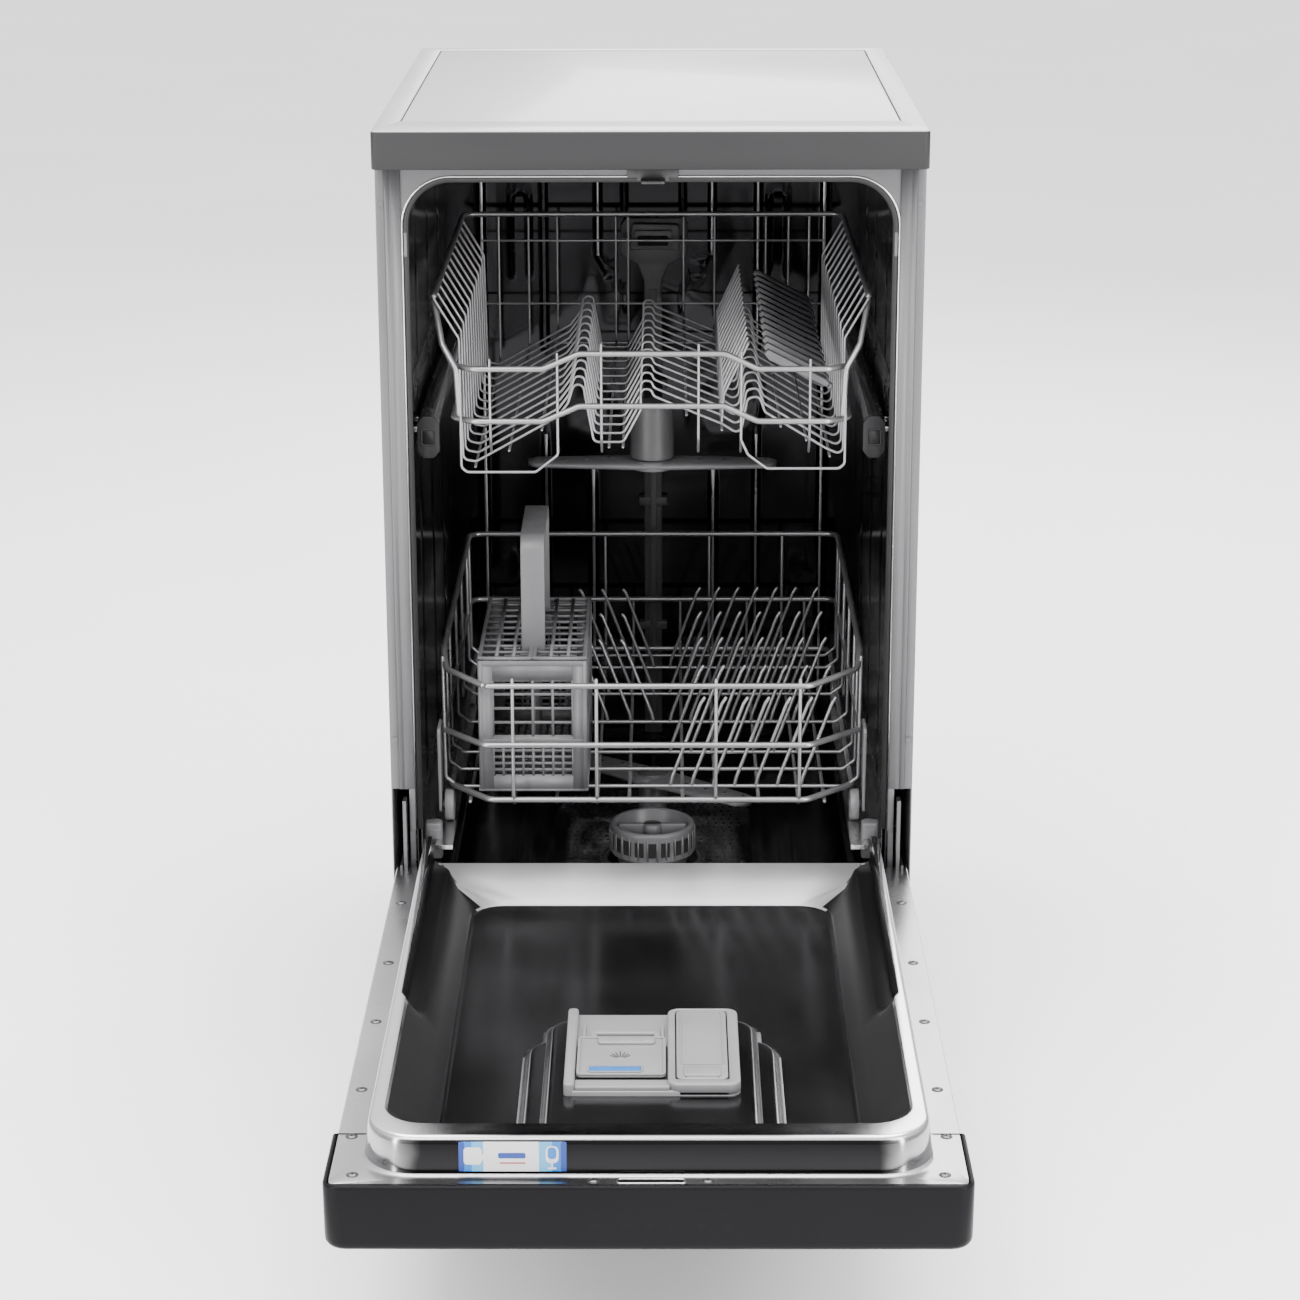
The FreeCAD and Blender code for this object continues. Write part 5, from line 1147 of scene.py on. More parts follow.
def make_cup_shelf():
    """A sloping sheet with a row of upright fins across it, hinged along its low edge."""
    (x0, y0, z0), (x1, y1, z1) = extent("cup_shelf")
    sheet = [(x0 + 6, z1 - 6), (x1 - 5, z0 + 5.5), (x1 - 5, z0 + 3.7), (x0 + 6, z1 - 7.8)]
    parts = [paint(prism(sheet, y0 + 3, y1 - 3, "y", bevel=0.4), 1)]
    fin = rounded([(x0, z1 - 3.6), (x0 + 3.5, z1), (x1 - 7, z0 + 9.5), (x1 - 2.5, z0 + 5), (x1 - 4, z0 + 1.8),
                   (x0 + 4.5, z1 - 9)], 1)
    count, fin_wide = 13, 8.5
    for index in range(count + 1):
        y = y0 + (y1 - y0 - fin_wide) * index / count
        parts.append(prism(fin, y, y + fin_wide, "y", bevel=0.8))
    for x, z in ((x0 + 20, z1 - 15.5), (x0 + 38, z1 - 25.2)):
        parts.append(slab((x - 1, y0 + 2, z - 1), (x + 1, y1 - 2, z + 2.5), 0.4))
    for a, b in ((y0, y0 + 9), (y1 - 9, y1)):
        parts.append(lathe([(2.6, a), (2.6, b)], (x1 - 3, 0, z0 + 3), "y", 14))
    link("cup_shelf_moulding", join(parts), ["grey_plastic", "black_plastic"], "cup_shelf", ["cup_shelf"])


def make_lower_rack():
    """The lower basket with its leaning tines, and the plates that carry its wheels."""
    low, high = extent("lower_rack_basket")
    yf, yb = low[1] + 2.5, high[1] - 2.5
    x_out, top = 184, 375
    rail, thin = 2.7, 1.7
    ring = [(-145, yf, 361), (137, yf, 361), (x_out - 4, yf + 34, 366), (x_out, yf + 60, top),
            (x_out, yb, top), (-x_out, yb, top), (-x_out, yf + 60, top), (-x_out + 4, yf + 34, 366),
            (-145, yf, 361)]
    second = [(-x_out, yf + 44, 307), (-x_out, yb, 307), (x_out, yb, 307), (x_out, yf + 44, 307),
              (138, yf, 307), (-146, yf, 307), (-x_out, yf + 44, 307)]
    base = [(-178, yf + 46, 255), (-178, yb, 255), (178, yb, 255), (178, yf + 46, 255), (136, yf + 4, 255),
            (-142, yf + 4, 255), (-178, yf + 46, 255)]
    thick = [ring, second, base]
    fine = []
    for x in (-121, -48, 56, 129):
        fine.append([(x, yf, 368), (x, yf, 260), (x, yf + 10, 250), (x, yb - 10, 250), (x, yb, 260),
                     (x, yb, top)])
    for x in (-160, -84, -20, 27, 94, 152):
        fine.append([(x, yf + 12, 250), (x, yb - 10, 250), (x, yb, 262), (x, yb, 307)])
    rows = (110, 203, 290, 375, 460)
    for y in (*rows, 156, 500):
        fine.append([(-x_out, y, top), (-x_out + 1, y, 262), (-x_out + 12, y, 253.5),
                     (x_out - 12, y, 253.5), (x_out - 1, y, 262), (x_out, y, top)])
    for y in rows:
        for x in (16, 35, 54, 73, 92, 111, 132):
            fine.append([(x, y, 253), (x + 2, y, 262), (x + 27, y + 2, 330), (x + 31, y + 3, 336)])
        if y > 280:
            for x in (-42, -20, 1):
                fine.append([(x, y, 253), (x - 2, y, 262), (x - 28, y + 2, 330), (x - 31, y + 3, 334)])
    link("lower_rack_wires", join([wires(thick, rail, 12, 10), wires(fine, thin, 5, 7)]), "rack_coat",
         "lower_rack", ["lower_rack_basket"])
    (_, _, z0), (x1, _, z1) = extent("lower_wheel_brackets")
    plates = []
    for sign in (-1, 1):
        for y in (110, 440):
            outline = rounded([(y - 17, z1 - 3), (y - 9, z0 + 3), (y - 4, z0), (y + 4, z0), (y + 9, z0 + 3),
                               (y + 17, z1 - 3), (y + 14, z1), (y - 14, z1)], 3)
            a, b = sorted((sign * (x1 - 2.7), sign * x1))
            plates.append(prism(outline, a, b, "x", bevel=0.5))
            a, b = sorted((sign * 175.5, sign * (x1 - 1)))
            plates.append(lathe([(3.1, a), (3.1, b)], (0, y, 236.5), "x", 18))
    link("lower_wheel_plates", join(plates), "pale_plastic", "lower_rack", ["lower_wheel_brackets"])
    for node in ("lower_wheels_front", "lower_wheels_rear"):
        wheel_pair(node, "pale_plastic")


def strip(origin, across, up, a, b, thick):
    """A flat bar of a moulded wall: a and b are its limits along the wall and up it."""
    across, up = Vector(across), Vector(up)
    normal = across.cross(up)
    corners = [tuple(Vector(origin) + across * i + up * j + normal * n)
               for n in (-thick / 2, thick / 2) for i, j in rect(*a, *b)]
    return from_faces(corners, [(3, 2, 1, 0), (4, 5, 6, 7), (0, 1, 5, 4), (1, 2, 6, 5), (2, 3, 7, 6),
                                (3, 0, 4, 7)])


def lattice(origin, across, up, a, b, columns, rows, bar_width, thick):
    """A moulded grille of bars between the limits a along a wall and b up it."""
    def spans(limits, count):
        places = [limits[0] + (limits[1] - limits[0]) * index / count for index in range(count + 1)]
        return [(place - bar_width / 2, place + bar_width / 2) for place in places]
    bars = [strip(origin, across, up, span, b, thick) for span in spans(a, columns)]
    # the level bars are thinner, so that no two faces lie in one plane
    bars += [strip(origin, across, up, a, span, thick * 0.86) for span in spans(b, rows)]
    return join(bars)


def basket_wall(origin, across, width, tall, bays):
    """One side of the basket: solid border, a coarse grille above a fine one in each bay."""
    up = (0, 0, 1)
    fine = (tall * 0.115, tall * 0.36)
    coarse = (tall * 0.42, tall * 0.85)
    parts = [strip(origin, across, up, (0, width), limits, 2)
             for limits in ((0, fine[0]), (fine[1], coarse[0]), (coarse[1], tall))]
    pitch = width / bays
    for bay in range(bays):
        left, right = pitch * bay, pitch * (bay + 1)
        edge = 12 if bays == 1 else 7
        for limits in ((left, left + edge), (right - edge, right)):
            parts.append(strip(origin, across, up, limits, (0, tall), 2.3))
        window = (left + edge, right - edge)
        parts.append(lattice(origin, across, up, window, coarse, 4, 4, 2.3, 1.8))
        parts.append(lattice(origin, across, up, window, fine, 8, 5, 2.2, 1.8))
    return join(parts)


def make_cutlery_basket():
    """The two-bay basket with its middle wall, carrying handle and two grid lids."""
    (x0, y0, z0) = extent("cutlery_basket")[0]
    x1, y1 = extent("cutlery_basket")[1][:2]
    walls_top = extent("basket_lid_left")[0][2] - 0.4
    tall, inset = walls_top - z0, 1.2
    parts = [basket_wall((x0, y, z0), (1, 0, 0), x1 - x0, tall, 1) for y in (y0 + inset, y1 - inset)]
    parts += [basket_wall((x, y0, z0), (0, 1, 0), y1 - y0, tall, 2) for x in (x0 + inset, x1 - inset)]
    parts.append(lattice((x0, y0, z0 + 1), (1, 0, 0), (0, 1, 0), (0, x1 - x0), (0, y1 - y0), 14, 28, 2.2, 2))
    for low, high in ((z0 + tall * 0.37, z0 + tall * 0.4), (walls_top - 5, walls_top)):
        rim, rim_top = [rect_loop((x0 - 0.2, x1 + 0.2), (y0 - 0.2, y1 + 0.2), z, 4) for z in (low, high)]
        inner, inner_top = [rect_loop((x0 + 2.6, x1 - 2.6), (y0 + 2.6, y1 - 2.6), z, 3)
                            for z in (low, high)]
        parts.append(tidy(loft([inner, rim, rim_top, inner_top, inner]), bevel=0.4, segments=1))
    for x, y in ((x0 + 1.5, y0 + 1.5), (x1 - 1.5, y0 + 1.5), (x0 + 1.5, y1 - 1.5), (x1 - 1.5, y1 - 1.5)):
        parts.append(lathe([(2.3, z0), (2.3, walls_top)], (x, y, 0), "z", 12))
    mid = (x0 + x1) / 2
    parts.append(lattice((mid, y0 + 3, z0 + 4), (0, 1, 0), (0, 0, 1), (0, y1 - y0 - 6), (0, tall - 5),
                         15, 8, 2.2, 2))
    handle_top = extent("cutlery_basket")[1][2]
    near, far = y0 + 33, y1 - 33
    hx0, hx1 = mid - 10.5, mid + 10.5
    path = rounded([(near, walls_top - 6), (near, handle_top - 1.8), (far, handle_top - 1.8),
                    (far, walls_top - 6)], [0, 15, 15, 0], 6, closed=False)
    inner, outer = [], []
    for index, (y, z) in enumerate(path):
        a = Vector(path[max(index - 1, 0)])
        b = Vector(path[min(index + 1, len(path) - 1)])
        way = (b - a).normalized()
        side = Vector((-way.y, way.x))
        outer.append((y + side.x * 1.8, z + side.y * 1.8))
        inner.append((y - side.x * 1.8, z - side.y * 1.8))
    parts.append(prism(outer + inner[::-1], hx0, hx1, "x", bevel=0.8))
    for y in (near, far):
        parts.append(slab((hx0 - 2, y - 4.5, walls_top - 22), (hx1 + 2, y + 4.5, walls_top - 2), 1.0))
    link("cutlery_basket_moulding", join(parts), "grey_plastic", "cutlery_basket", ["cutlery_basket"])
    for side in ("left", "right"):
        node = f"basket_lid_{side}"
        (lx0, ly0, lz0), (lx1, ly1, lz1) = extent(node)
        middle = (lz0 + lz1) / 2
        grid = lattice((lx0, ly0, middle), (1, 0, 0), (0, 1, 0), (1, lx1 - lx0 - 1), (1, ly1 - ly0 - 1),
                       3, 10, 3.0, 2.4)
        rings = ((0, lz0, 3), (0, lz1, 3), (3, lz1, 2), (3, lz0, 2), (0, lz0, 3))
        frame = loft([rect_loop((lx0 + inset, lx1 - inset), (ly0 + inset, ly1 - inset), z, radius)
                      for inset, z, radius in rings])
        link(f"lid_grid_{side}", join([grid, tidy(frame, bevel=0.3, segments=1)]), "grey_plastic", node,
             [node])


# ---------------------------------------------------------------- door

# Heights above the pivot of the flange, the rim's crown, the wheel channel and the recess floor
FLANGE_W, RIM_W, CHANNEL_W, RECESS_W = 4.4, 33, 17, -12
STEP_U = 344  # where the wheel channels end
SIDE_STATIONS = (1, 7, 15, 25, 36, 50, 75, 110, 160, 220, 280, 322, 333, 340, STEP_U, 348, 355, 366, 400,
                 450, 495)
SLOT_X, SLOT_U = (-21, 25), (597.2, 602.6)  # the opening that the striker passes through


def ease(t):
    """A smooth step from 0 to 1."""
    t = max(0.0, min(1.0, t))
    return t * t * (3 - 2 * t)


def mixed(a, b, t):
    """The value a part t of the way from a to b."""
    return a + (b - a) * t


def u_path(place, near, radius, start=1):
    """An open path up the left side, round the near end and down the right side.

    place gives (half width, height) at each u; near is the path's far u and radius its corners.
    start is the u that the path begins at.
    """
    stations = [u if u >= 75 else start + (u - 1) * (75 - start) / 74 for u in SIDE_STATIONS]
    left = [(place(u)[0], u, place(u)[1]) for u in stations]
    return mirrored(left, place(near - radius), near, radius)


def mirrored(side, end, near, radius):
    """A path on the door from its right side: on round the near corner, and the same to the left."""
    half, height = end
    arc = []
    for step in range(9):
        angle = math.pi / 2 * step / 8
        arc.append((half - radius + radius * math.cos(angle), near - radius + radius * math.sin(angle),
                    height))
    right = side + arc + [((half - radius) * part, near, height) for part in (0.75, 0.5, 0.25)]
    return ([door(-x, u, w) for x, u, w in right]
            + [door(x, u, w) for x, u, w in [(0, near, height)] + right[::-1]])


def rim_section(part):
    """A loop down the rim's inner side, which has a wheel channel before STEP_U and none after it."""
    far_part, channel, hinge = ((0.0, (190, RIM_W), (190, RIM_W)), (0.05, (189.4, 31), (189.6, 31)),
                                (0.12, (189, 19), (189.2, 13)), (0.2, (187.5, CHANNEL_W), (188, 10)),
                                (0.3, (175.5, CHANNEL_W), (185, 8.6)), (0.38, (173.1, 15.9), (182, 8)),
                                (0.7, (162.2, 1.5), (168, -0.9)))[part]
    far = (186 - 34 * far_part, RIM_W - 45 * far_part)

    def place(u):
        b = ease((u - STEP_U + 6) / 12)
        h = 1 - ease((u - (22 if part == 6 else 0)) / 42)
        half = mixed(mixed(channel[0], hinge[0], h), far[0], b)
        height = mixed(mixed(channel[1], hinge[1], h), far[1], b)
        return half, height
    return u_path(place, 568 - 32 * far_part, 30 - 4 * far_part, 23 if part == 6 else 1)


def floor_edge(inset, drop):
    """The recess floor's edge: straight sides, round near corners and round hinge-end corners."""
    half, near, hinge_u, radius = 152 - inset, 536 - inset, 50 + inset, 26 - inset
    count = sum(1 for u in SIDE_STATIONS if u <= 75)
    sides = []
    for index, u in enumerate(SIDE_STATIONS):
        if index < count:
            angle = math.pi / 2 * (1 - index / (count - 1))
            sides.append((half - radius + radius * math.cos(angle),
                          hinge_u + radius - radius * math.sin(angle), RECESS_W + drop))
        else:
            sides.append((half, u, RECESS_W + drop))
    return mirrored(sides, (half, RECESS_W + drop), near, radius)


def liner_inside(x, u):
    """True inside the rim's inner edge."""
    return u < 568 and x < (190 if u < STEP_U else 186)


def cut_slot(mesh, across, along, depth):
    """Removes the door sheet inside a rectangle, given as its limits in x, u and w."""
    work = bmesh.new()
    work.from_mesh(mesh)

    def inside(face, spare):
        middle = face.calc_center_median() / MM
        u, w = PIVOT_Y - middle.y, middle.z - PIVOT_Z
        return (across[0] - spare < middle.x < across[1] + spare and along[0] - spare < u < along[1] + spare
                and depth[0] < w < depth[1])
    cuts = [((x, 0, 0), (1, 0, 0)) for x in across] + [((0, PIVOT_Y - u, 0), (0, 1, 0)) for u in along]
    for place, normal in cuts:
        faces = [face for face in work.faces if inside(face, 60)]
        edges = {edge for face in faces for edge in face.edges}
        points = {vert for face in faces for vert in face.verts}
        bmesh.ops.bisect_plane(work, geom=faces + list(edges) + list(points), plane_co=Vector(place) * MM,
                               plane_no=normal, dist=1e-6)
    bmesh.ops.delete(work, geom=[face for face in work.faces if inside(face, 0)], context="FACES")
    work.to_mesh(mesh)
    work.free()


def make_liner():
    """The inner sheet: flange, raised rim, wheel channels, recess and the slope at the hinge end."""
    outside = ((221.5, 2.2, 605, 8), (221.3, 3.7, 604.8, 8), (220.6, FLANGE_W, 604.2, 8),
               (203, FLANGE_W, 597, 38), (199.6, 4.7, 593.8, 37), (198.3, 6.2, 592.3, 36.5),
               (197, 27.5, 590.6, 36), (196.3, 30.6, 589.6, 35.5), (194.8, 32.5, 588, 34.5),
               (192.6, RIM_W, 585.5, 33))
    loops = [u_path(lambda u, end=(half, height): end, near, radius)
             for half, height, near, radius in outside]
    loops += [rim_section(part) for part in range(7)]
    loops += [floor_edge(-1.5, 1.6), floor_edge(0.5, 0.3), floor_edge(3, 0)]
    skin = loft(loops, closed=False)
    inner = loops[-1]
    recess = from_faces(inner, [tuple(range(len(inner)))])
    hinge_rows = []
    for index in (15, 16, 17, 18, 19):
        first, last = Vector(loops[index][0]), Vector(loops[index][-1])
        hinge_rows.append([tuple(first.lerp(last, k / 12)) for k in range(13)])
    top = [Vector(point) for point in hinge_rows[0]]
    roll = [[tuple(point + Vector((0, dy, dz))) for point in top]
            for dy, dz in ((3.4, -3.6), (3.1, -1.8), (1.6, -0.4))]
    slope = loft(roll + hinge_rows, closed=False)
    mesh = tidy(join([skin, recess, slope]), merge=0.02)
    if sum(1 if face.normal.z > 0 else -1 for face in mesh.polygons) < 0:
        mesh.flip_normals()
    cut_slot(mesh, SLOT_X, SLOT_U, (3.5, 5))
    finishes = ["liner_steel", "recess_steel", "satin_steel", "wall_steel_painted_reflection", "rim_steel_painted_reflection", "slope_steel"]
    piece = link("door_liner_pressing", mesh, finishes, "door", ["door_liner"])
    # The liner is one pressed sheet, and its faces are split by place and slope into lit and shaded copies of
    # its steel: painted highlight on the hinge slope, painted shade on the recess floor and inner slopes, and
    # painted reflection on the rim crown and near wall.
    for face in piece.data.polygons:
        middle = face.center / MM
        u, w = PIVOT_Y - middle.y, middle.z - PIVOT_Z
        if u < 64 and abs(face.normal.y) > 0.24 * abs(face.normal.x) and RECESS_W + 0.4 < w < 9:
            face.material_index = 2
        elif liner_inside(abs(middle.x), u) and w < RIM_W - 1.2:
            face.material_index = 1 if w < RECESS_W + 1 else 5
        elif w > RIM_W - 1.4 and abs(middle.x) < 197:
            face.material_index = 4
        elif u > 550 and 8 < w < 30 and face.normal.z < 0.5 and not liner_inside(abs(middle.x), u):
            face.material_index = 3
    thicken(piece, -1)


def make_hump():
    """The two raised steps pressed round the dispenser, running on into the basin's near slope."""
    shoulder = ((-8, 0), (-5, 0.12), (-2.5, 0.5), (-1.2, 0.85), (0.2, 0.97), (2, 1.0), (4, 1.0), (7, 1.0))
    steps = ((541, 340, 92, 26, -0.5, 6.5), (546, 318, 76, 20, 5.5, 13))
    for number, (near, far, half, radius, low, top) in enumerate(steps):
        loops = []
        for inset, part in shoulder:
            outline = rounded([(-half + inset, near), (-half + inset, far + inset),
                               (half - inset, far + inset), (half - inset, near)], [0, radius, radius, 0], 6)
            height = RECESS_W + low + (top - low) * part
            loops.append([door(x + 1.5, u - 0.2 * part, height) for x, u in outline])
        mesh = tidy(loft(loops, cap_end=True))
        piece = link(f"dispenser_surround_{number}", mesh, ["recess_steel", "liner_steel"], "door")
        # The flanks take the paler liner steel and the flat faces the darker recess steel: painted highlight
        # on the flanks and painted shade on the flats of one sheet.
        for face in piece.data.polygons:
            face.material_index = 1 if 0.25 < abs(face.normal.z) < 0.97 else 0
        piece.data.set_sharp_from_angle(angle=SHARP)


def door_ring(x, u, inset, height, radius):
    """A level rounded rectangle on the door, in from its x and u limits."""
    outline = rounded(rect(x[0] + inset, x[1] - inset, u[0] + inset, u[1] - inset), radius)
    return [door(a, b, height) for a, b in outline]


def frame_of(x, u, wall, w, radius, material=0, bevel=0.8):
    """A raised rectangular rim on the door between x and u limits, rising over heights w."""
    def loop(inset, height):
        return door_ring(x, u, inset, height, max(radius - inset, 0.8))
    loops = [loop(0, w[0]), loop(0, w[1] - bevel), loop(bevel * 0.3, w[1] - bevel * 0.3), loop(bevel, w[1]),
             loop(wall - bevel, w[1]), loop(wall - bevel * 0.3, w[1] - bevel * 0.3), loop(wall, w[1] - bevel),
             loop(wall, w[0]), loop(0, w[0])]
    return paint(tidy(loft(loops)), material)


def rim_between(outer, inner, w, outer_radius, inner_radius, bevel=1.2):
    """A raised rim between two rectangles, each given as its limits in x and u."""
    def loop(box, radius, grow, height):
        return door_ring(box[:2], box[2:], -grow, height, max(radius + grow, 0.5))
    loops = [loop(outer, outer_radius, 0, w[0]), loop(outer, outer_radius, 0, w[1] - bevel),
             loop(outer, outer_radius, -bevel * 0.3, w[1] - bevel * 0.3),
             loop(outer, outer_radius, -bevel, w[1]), loop(inner, inner_radius, 0.5, w[1]),
             loop(inner, inner_radius, 0, w[1] - 0.5), loop(inner, inner_radius, 0, w[0]),
             loop(outer, outer_radius, 0, w[0])]
    return tidy(loft(loops))


def pad_of(x, u, w, radius, material=0, bevel=0.8):
    """A raised rectangular pad on the door with rounded corners and edges."""
    def loop(inset, height):
        return door_ring(x, u, inset, height, max(radius - inset, 0.3))
    loops = [loop(0, w[0]), loop(0, w[1] - bevel), loop(bevel * 0.3, w[1] - bevel * 0.3), loop(bevel, w[1])]
    return paint(tidy(loft(loops, cap_start=True, cap_end=True)), material)


def make_dispenser():
    """The two-part dispenser: body with ribs and frames, sliding lid and rinse flap."""
    (bx0, by0, _), (bx1, by1, bz1) = extent("dispenser_body")
    (lx0, ly0, lz0), (lx1, ly1, lz1) = extent("detergent_lid")
    (rx0, ry0, rz0), (rx1, ry1, rz1) = extent("rinse_cap")
    top = bz1 - PIVOT_Z
    bu0, bu1 = PIVOT_Y - by1, PIVOT_Y - by0
    lu0, lu1 = PIVOT_Y - ly1, PIVOT_Y - ly0
    ru0, ru1 = PIVOT_Y - ry1, PIVOT_Y - ry0
    # The pads on material 2, round the rinse flap and under the lid, are flat black: painted shade in the
    # gaps.
    body = [pad_of((bx0, bx1), (bu0, bu1), (RECESS_W, top - 3.4), 9),
            pad_of((bx0, lx0 - 1), (bu0, bu1), (RECESS_W, top + 2.4), 3.5, bevel=1.4),
            rim_between((rx0 - 6.5, bx1, bu0 + 0.5, bu1), (rx0 - 1, rx1 + 1, ru0 - 1, ru1 + 1),
                        (top - 6, top + 2.4), 9, 3),
            pad_of((bx0 + 8, rx0 - 5), (lu1 + 1.4, bu1 - 1.5), (top - 5, top - 0.4), 1.5, bevel=0.8),
            pad_of((rx0 - 1.5, rx1 + 1.5), (ru0 - 1.5, ru1 + 1.5), (top - 4, top - 1.4), 3, 2, 0.3),
            pad_of((lx0 - 1.2, lx1 + 1.2), (lu0 + 8, lu1 + 1.6), (top - 4, top - 1.6), 1, 2, 0.3),
            frame_of((lx0 + 9, lx1 - 4), (lu0 - 18, lu0 + 4), 5, (top - 4, top + 0.2), 5, bevel=1.2)]
    for x in (lx0 + 3, lx1 - 3.5):
        body.append(pad_of((x, x + 2.2), (lu0 - 30, lu0 - 1), (top - 4, top - 0.8), 0.8, bevel=0.4))
    well = pad_of((lx0 + 14, lx1 - 9), (lu0 - 13, lu0 - 1), (top - 3.6, top - 2.4), 2, 1, 0.3)
    link("dispenser_moulding", join(body + [well]), ["pale_plastic", "mid_plastic", "void"], "door",
         ["dispenser_body"])
    lz, lower = lz1 - PIVOT_Z, lz0 - PIVOT_Z
    lid = [pad_of((lx0, lx1), (lu0, lu1), (lower, lz - 1.2), 4),
           frame_of((lx0, lx1), (lu0, lu1), 2.2, (lz - 1.6, lz), 4, 0, 0.5)]
    tab = [pad_of((lx0 + 15, lx1 - 8), (lu0 + 3, lu0 + 14), (lz - 1.6, lz + 1.2), 3, 0, 1.0)]
    for k in range(5):
        x = lx0 + 23 + k * 6
        tab.append(pad_of((x, x + 1.6), (lu0 + 5, lu0 + 12), (lz, lz + 1.7), 0.6, 0, 0.3))
    window = [frame_of((lx0 + 8, lx0 + 49), (lu1 - 17, lu1 - 5), 1.3, (lz - 1.4, lz - 0.3), 3, 0, 0.3),
              pad_of((lx0 + 9.3, lx0 + 47.7), (lu1 - 15.7, lu1 - 6.3), (lz - 1.4, lz - 0.8), 2, 1, 0.3)]
    mark = spray_mark((lx0 + lx1) / 2 - 1, (lu0 + lu1) / 2 - 1, lz - 1.15)
    link("detergent_lid_moulding", join(lid + tab + window + mark),
         ["pale_plastic", "blue_window", "mid_plastic"], "detergent_lid", ["detergent_lid"])
    rz, low = rz1 - PIVOT_Z, rz0 - PIVOT_Z
    flap = [pad_of((rx0, rx1), (ru0, ru1), (low, rz - 0.8), 6, 0, 1.0),
            frame_of((rx0 + 2.5, rx1 - 2.5), (ru0 + 4, ru1 - 24), 1.4, (rz - 1.2, rz), 4, 0, 0.4),
            pad_of((rx0 + 5, rx1 - 5), (ru1 - 20, ru1 - 3), (rz - 1.4, rz + 0.6), 3, 0, 1.0)]
    # The slits are flat black pads: painted shade.
    slit = [pad_of((x, x + 0.9), (ru1 - 19, ru1 - 1.5), (rz - 1, rz - 0.7), 0.3, 1, 0.1)
            for x in (rx0 + 6.5, rx1 - 7.4)]
    centre = (rx0 + rx1) / 2
    slit += [pad_of((centre - 5, centre + 5), (ru1 - 21.4, ru1 - 19.6), (rz - 1, rz - 0.72), 0.8, 1, 0.1)]
    link("rinse_flap_moulding", join(flap + slit), ["pale_plastic", "void"], "rinse_cap", ["rinse_cap"])


def spray_mark(x, u, w):
    """A small moulded pictogram: a fan of fine strokes."""
    made = []
    for k in range(7):
        lean = (k - 3) * 0.3
        du, dx = math.cos(lean), math.sin(lean)
        inner, outer = 3.5, 13 - abs(k - 3) * 1.1
        path = [door(x + dx * reach, u + 6 - du * reach, w + 0.1) for reach in (inner, outer)]
        made.append(wires([path], 0.5, 0, 6, 2))
    return made


def make_fascia():
    """The control panel along the door's top edge, seen from inside the open door."""
    (x0, y0, z0), (x1, y1, z1) = extent("control_fascia")

    def ring(inset, z, radius, back=0.0):
        outline = rounded(rect(x0 + inset, x1 - inset, y0 + inset, y1 - back), [radius, radius, 0.6, 0.6])
        return [(a, b, z) for a, b in outline]
    mouth = rounded(rect(x0 + 3.1, x1 - 3.1, extent("door_liner")[0][1] + 0.3, y1), [3, 3, 0.6, 0.6])
    loops = [ring(6, z0, 12), ring(2, z0 + 0.8, 14), ring(0.4, z0 + 3.2, 15), ring(0, z0 + 6.5, 15),
             ring(0, z1 - 2.4, 12), ring(0.35, z1 - 1.0, 12), ring(1.1, z1 - 0.2, 11.5), ring(1.8, z1, 11)]
    loops += [[(a, b, z) for a, b in mouth] for z in (z1, PIVOT_Z + FLANGE_W - 1.2)]
    link("control_fascia_moulding", tidy(loft(loops, cap_start=True)), ["fascia", "grey_plastic"], "door",
         ["control_fascia"])
    marks = []
    face_y = y0 - 0.12
    for x in (-37, -16, 1, 18, 37, 54):
        marks.append(loft([[(x + size * math.cos(k * math.pi / 10), face_y,
                             z0 + 27 + size * math.sin(k * math.pi / 10)) for k in range(20)]
                           for size in (2.6, 2.0)]))
        for low, wide in ((19.6, 3.4), (17.6, 2.4)):
            corners = rect(x - wide, x + wide, z0 + low, z0 + low + 0.9)
            marks.append(from_faces([(a, face_y, b) for a, b in corners], [(0, 1, 2, 3)]))
    link("touch_symbols", join(marks), "fascia_mark", "door")
    # A thin black slab on the panel's underside: painted shade of the grip pocket.
    grip = slab((-86, y0 + 8, z0 - 0.15), (86, y0 + 34, z0 + 0.6), 0.5)
    link("grip_recess", grip, "void", "door")


def make_skin():
    """The painted front sheet, folded round the door's edges."""
    (x0, y0, z0), (x1, y1, z1) = extent("door_outer_panel")

    def ring(inset, z):
        return rect_loop((x0 + inset, x1 - inset), (y0 + inset, y1 - inset), z, 3)
    pan = loft([ring(SHEET, z0 + 9.5), ring(SHEET, z0 + SHEET)], cap_end=True)
    rim = loft([ring(0, z0 + 10), ring(0, z0 + 3), ring(0.8, z0 + 0.8), ring(2.8, z0)], cap_end=True)
    close = loft([ring(0, z0 + 10), ring(SHEET, z0 + 10), ring(SHEET, z0 + 9.5)])
    sides = []
    for sign in (-1, 1):
        a, b = sorted((sign * x1, sign * (x1 - SHEET)))
        sides.append(slab((a, y0 + 1, z0 + 8), (b, y1, z1 - 0.4), 0.3))
    link("door_skin", tidy(join([pan, rim, close] + sides)), "lid_side", "door", ["door_outer_panel"])


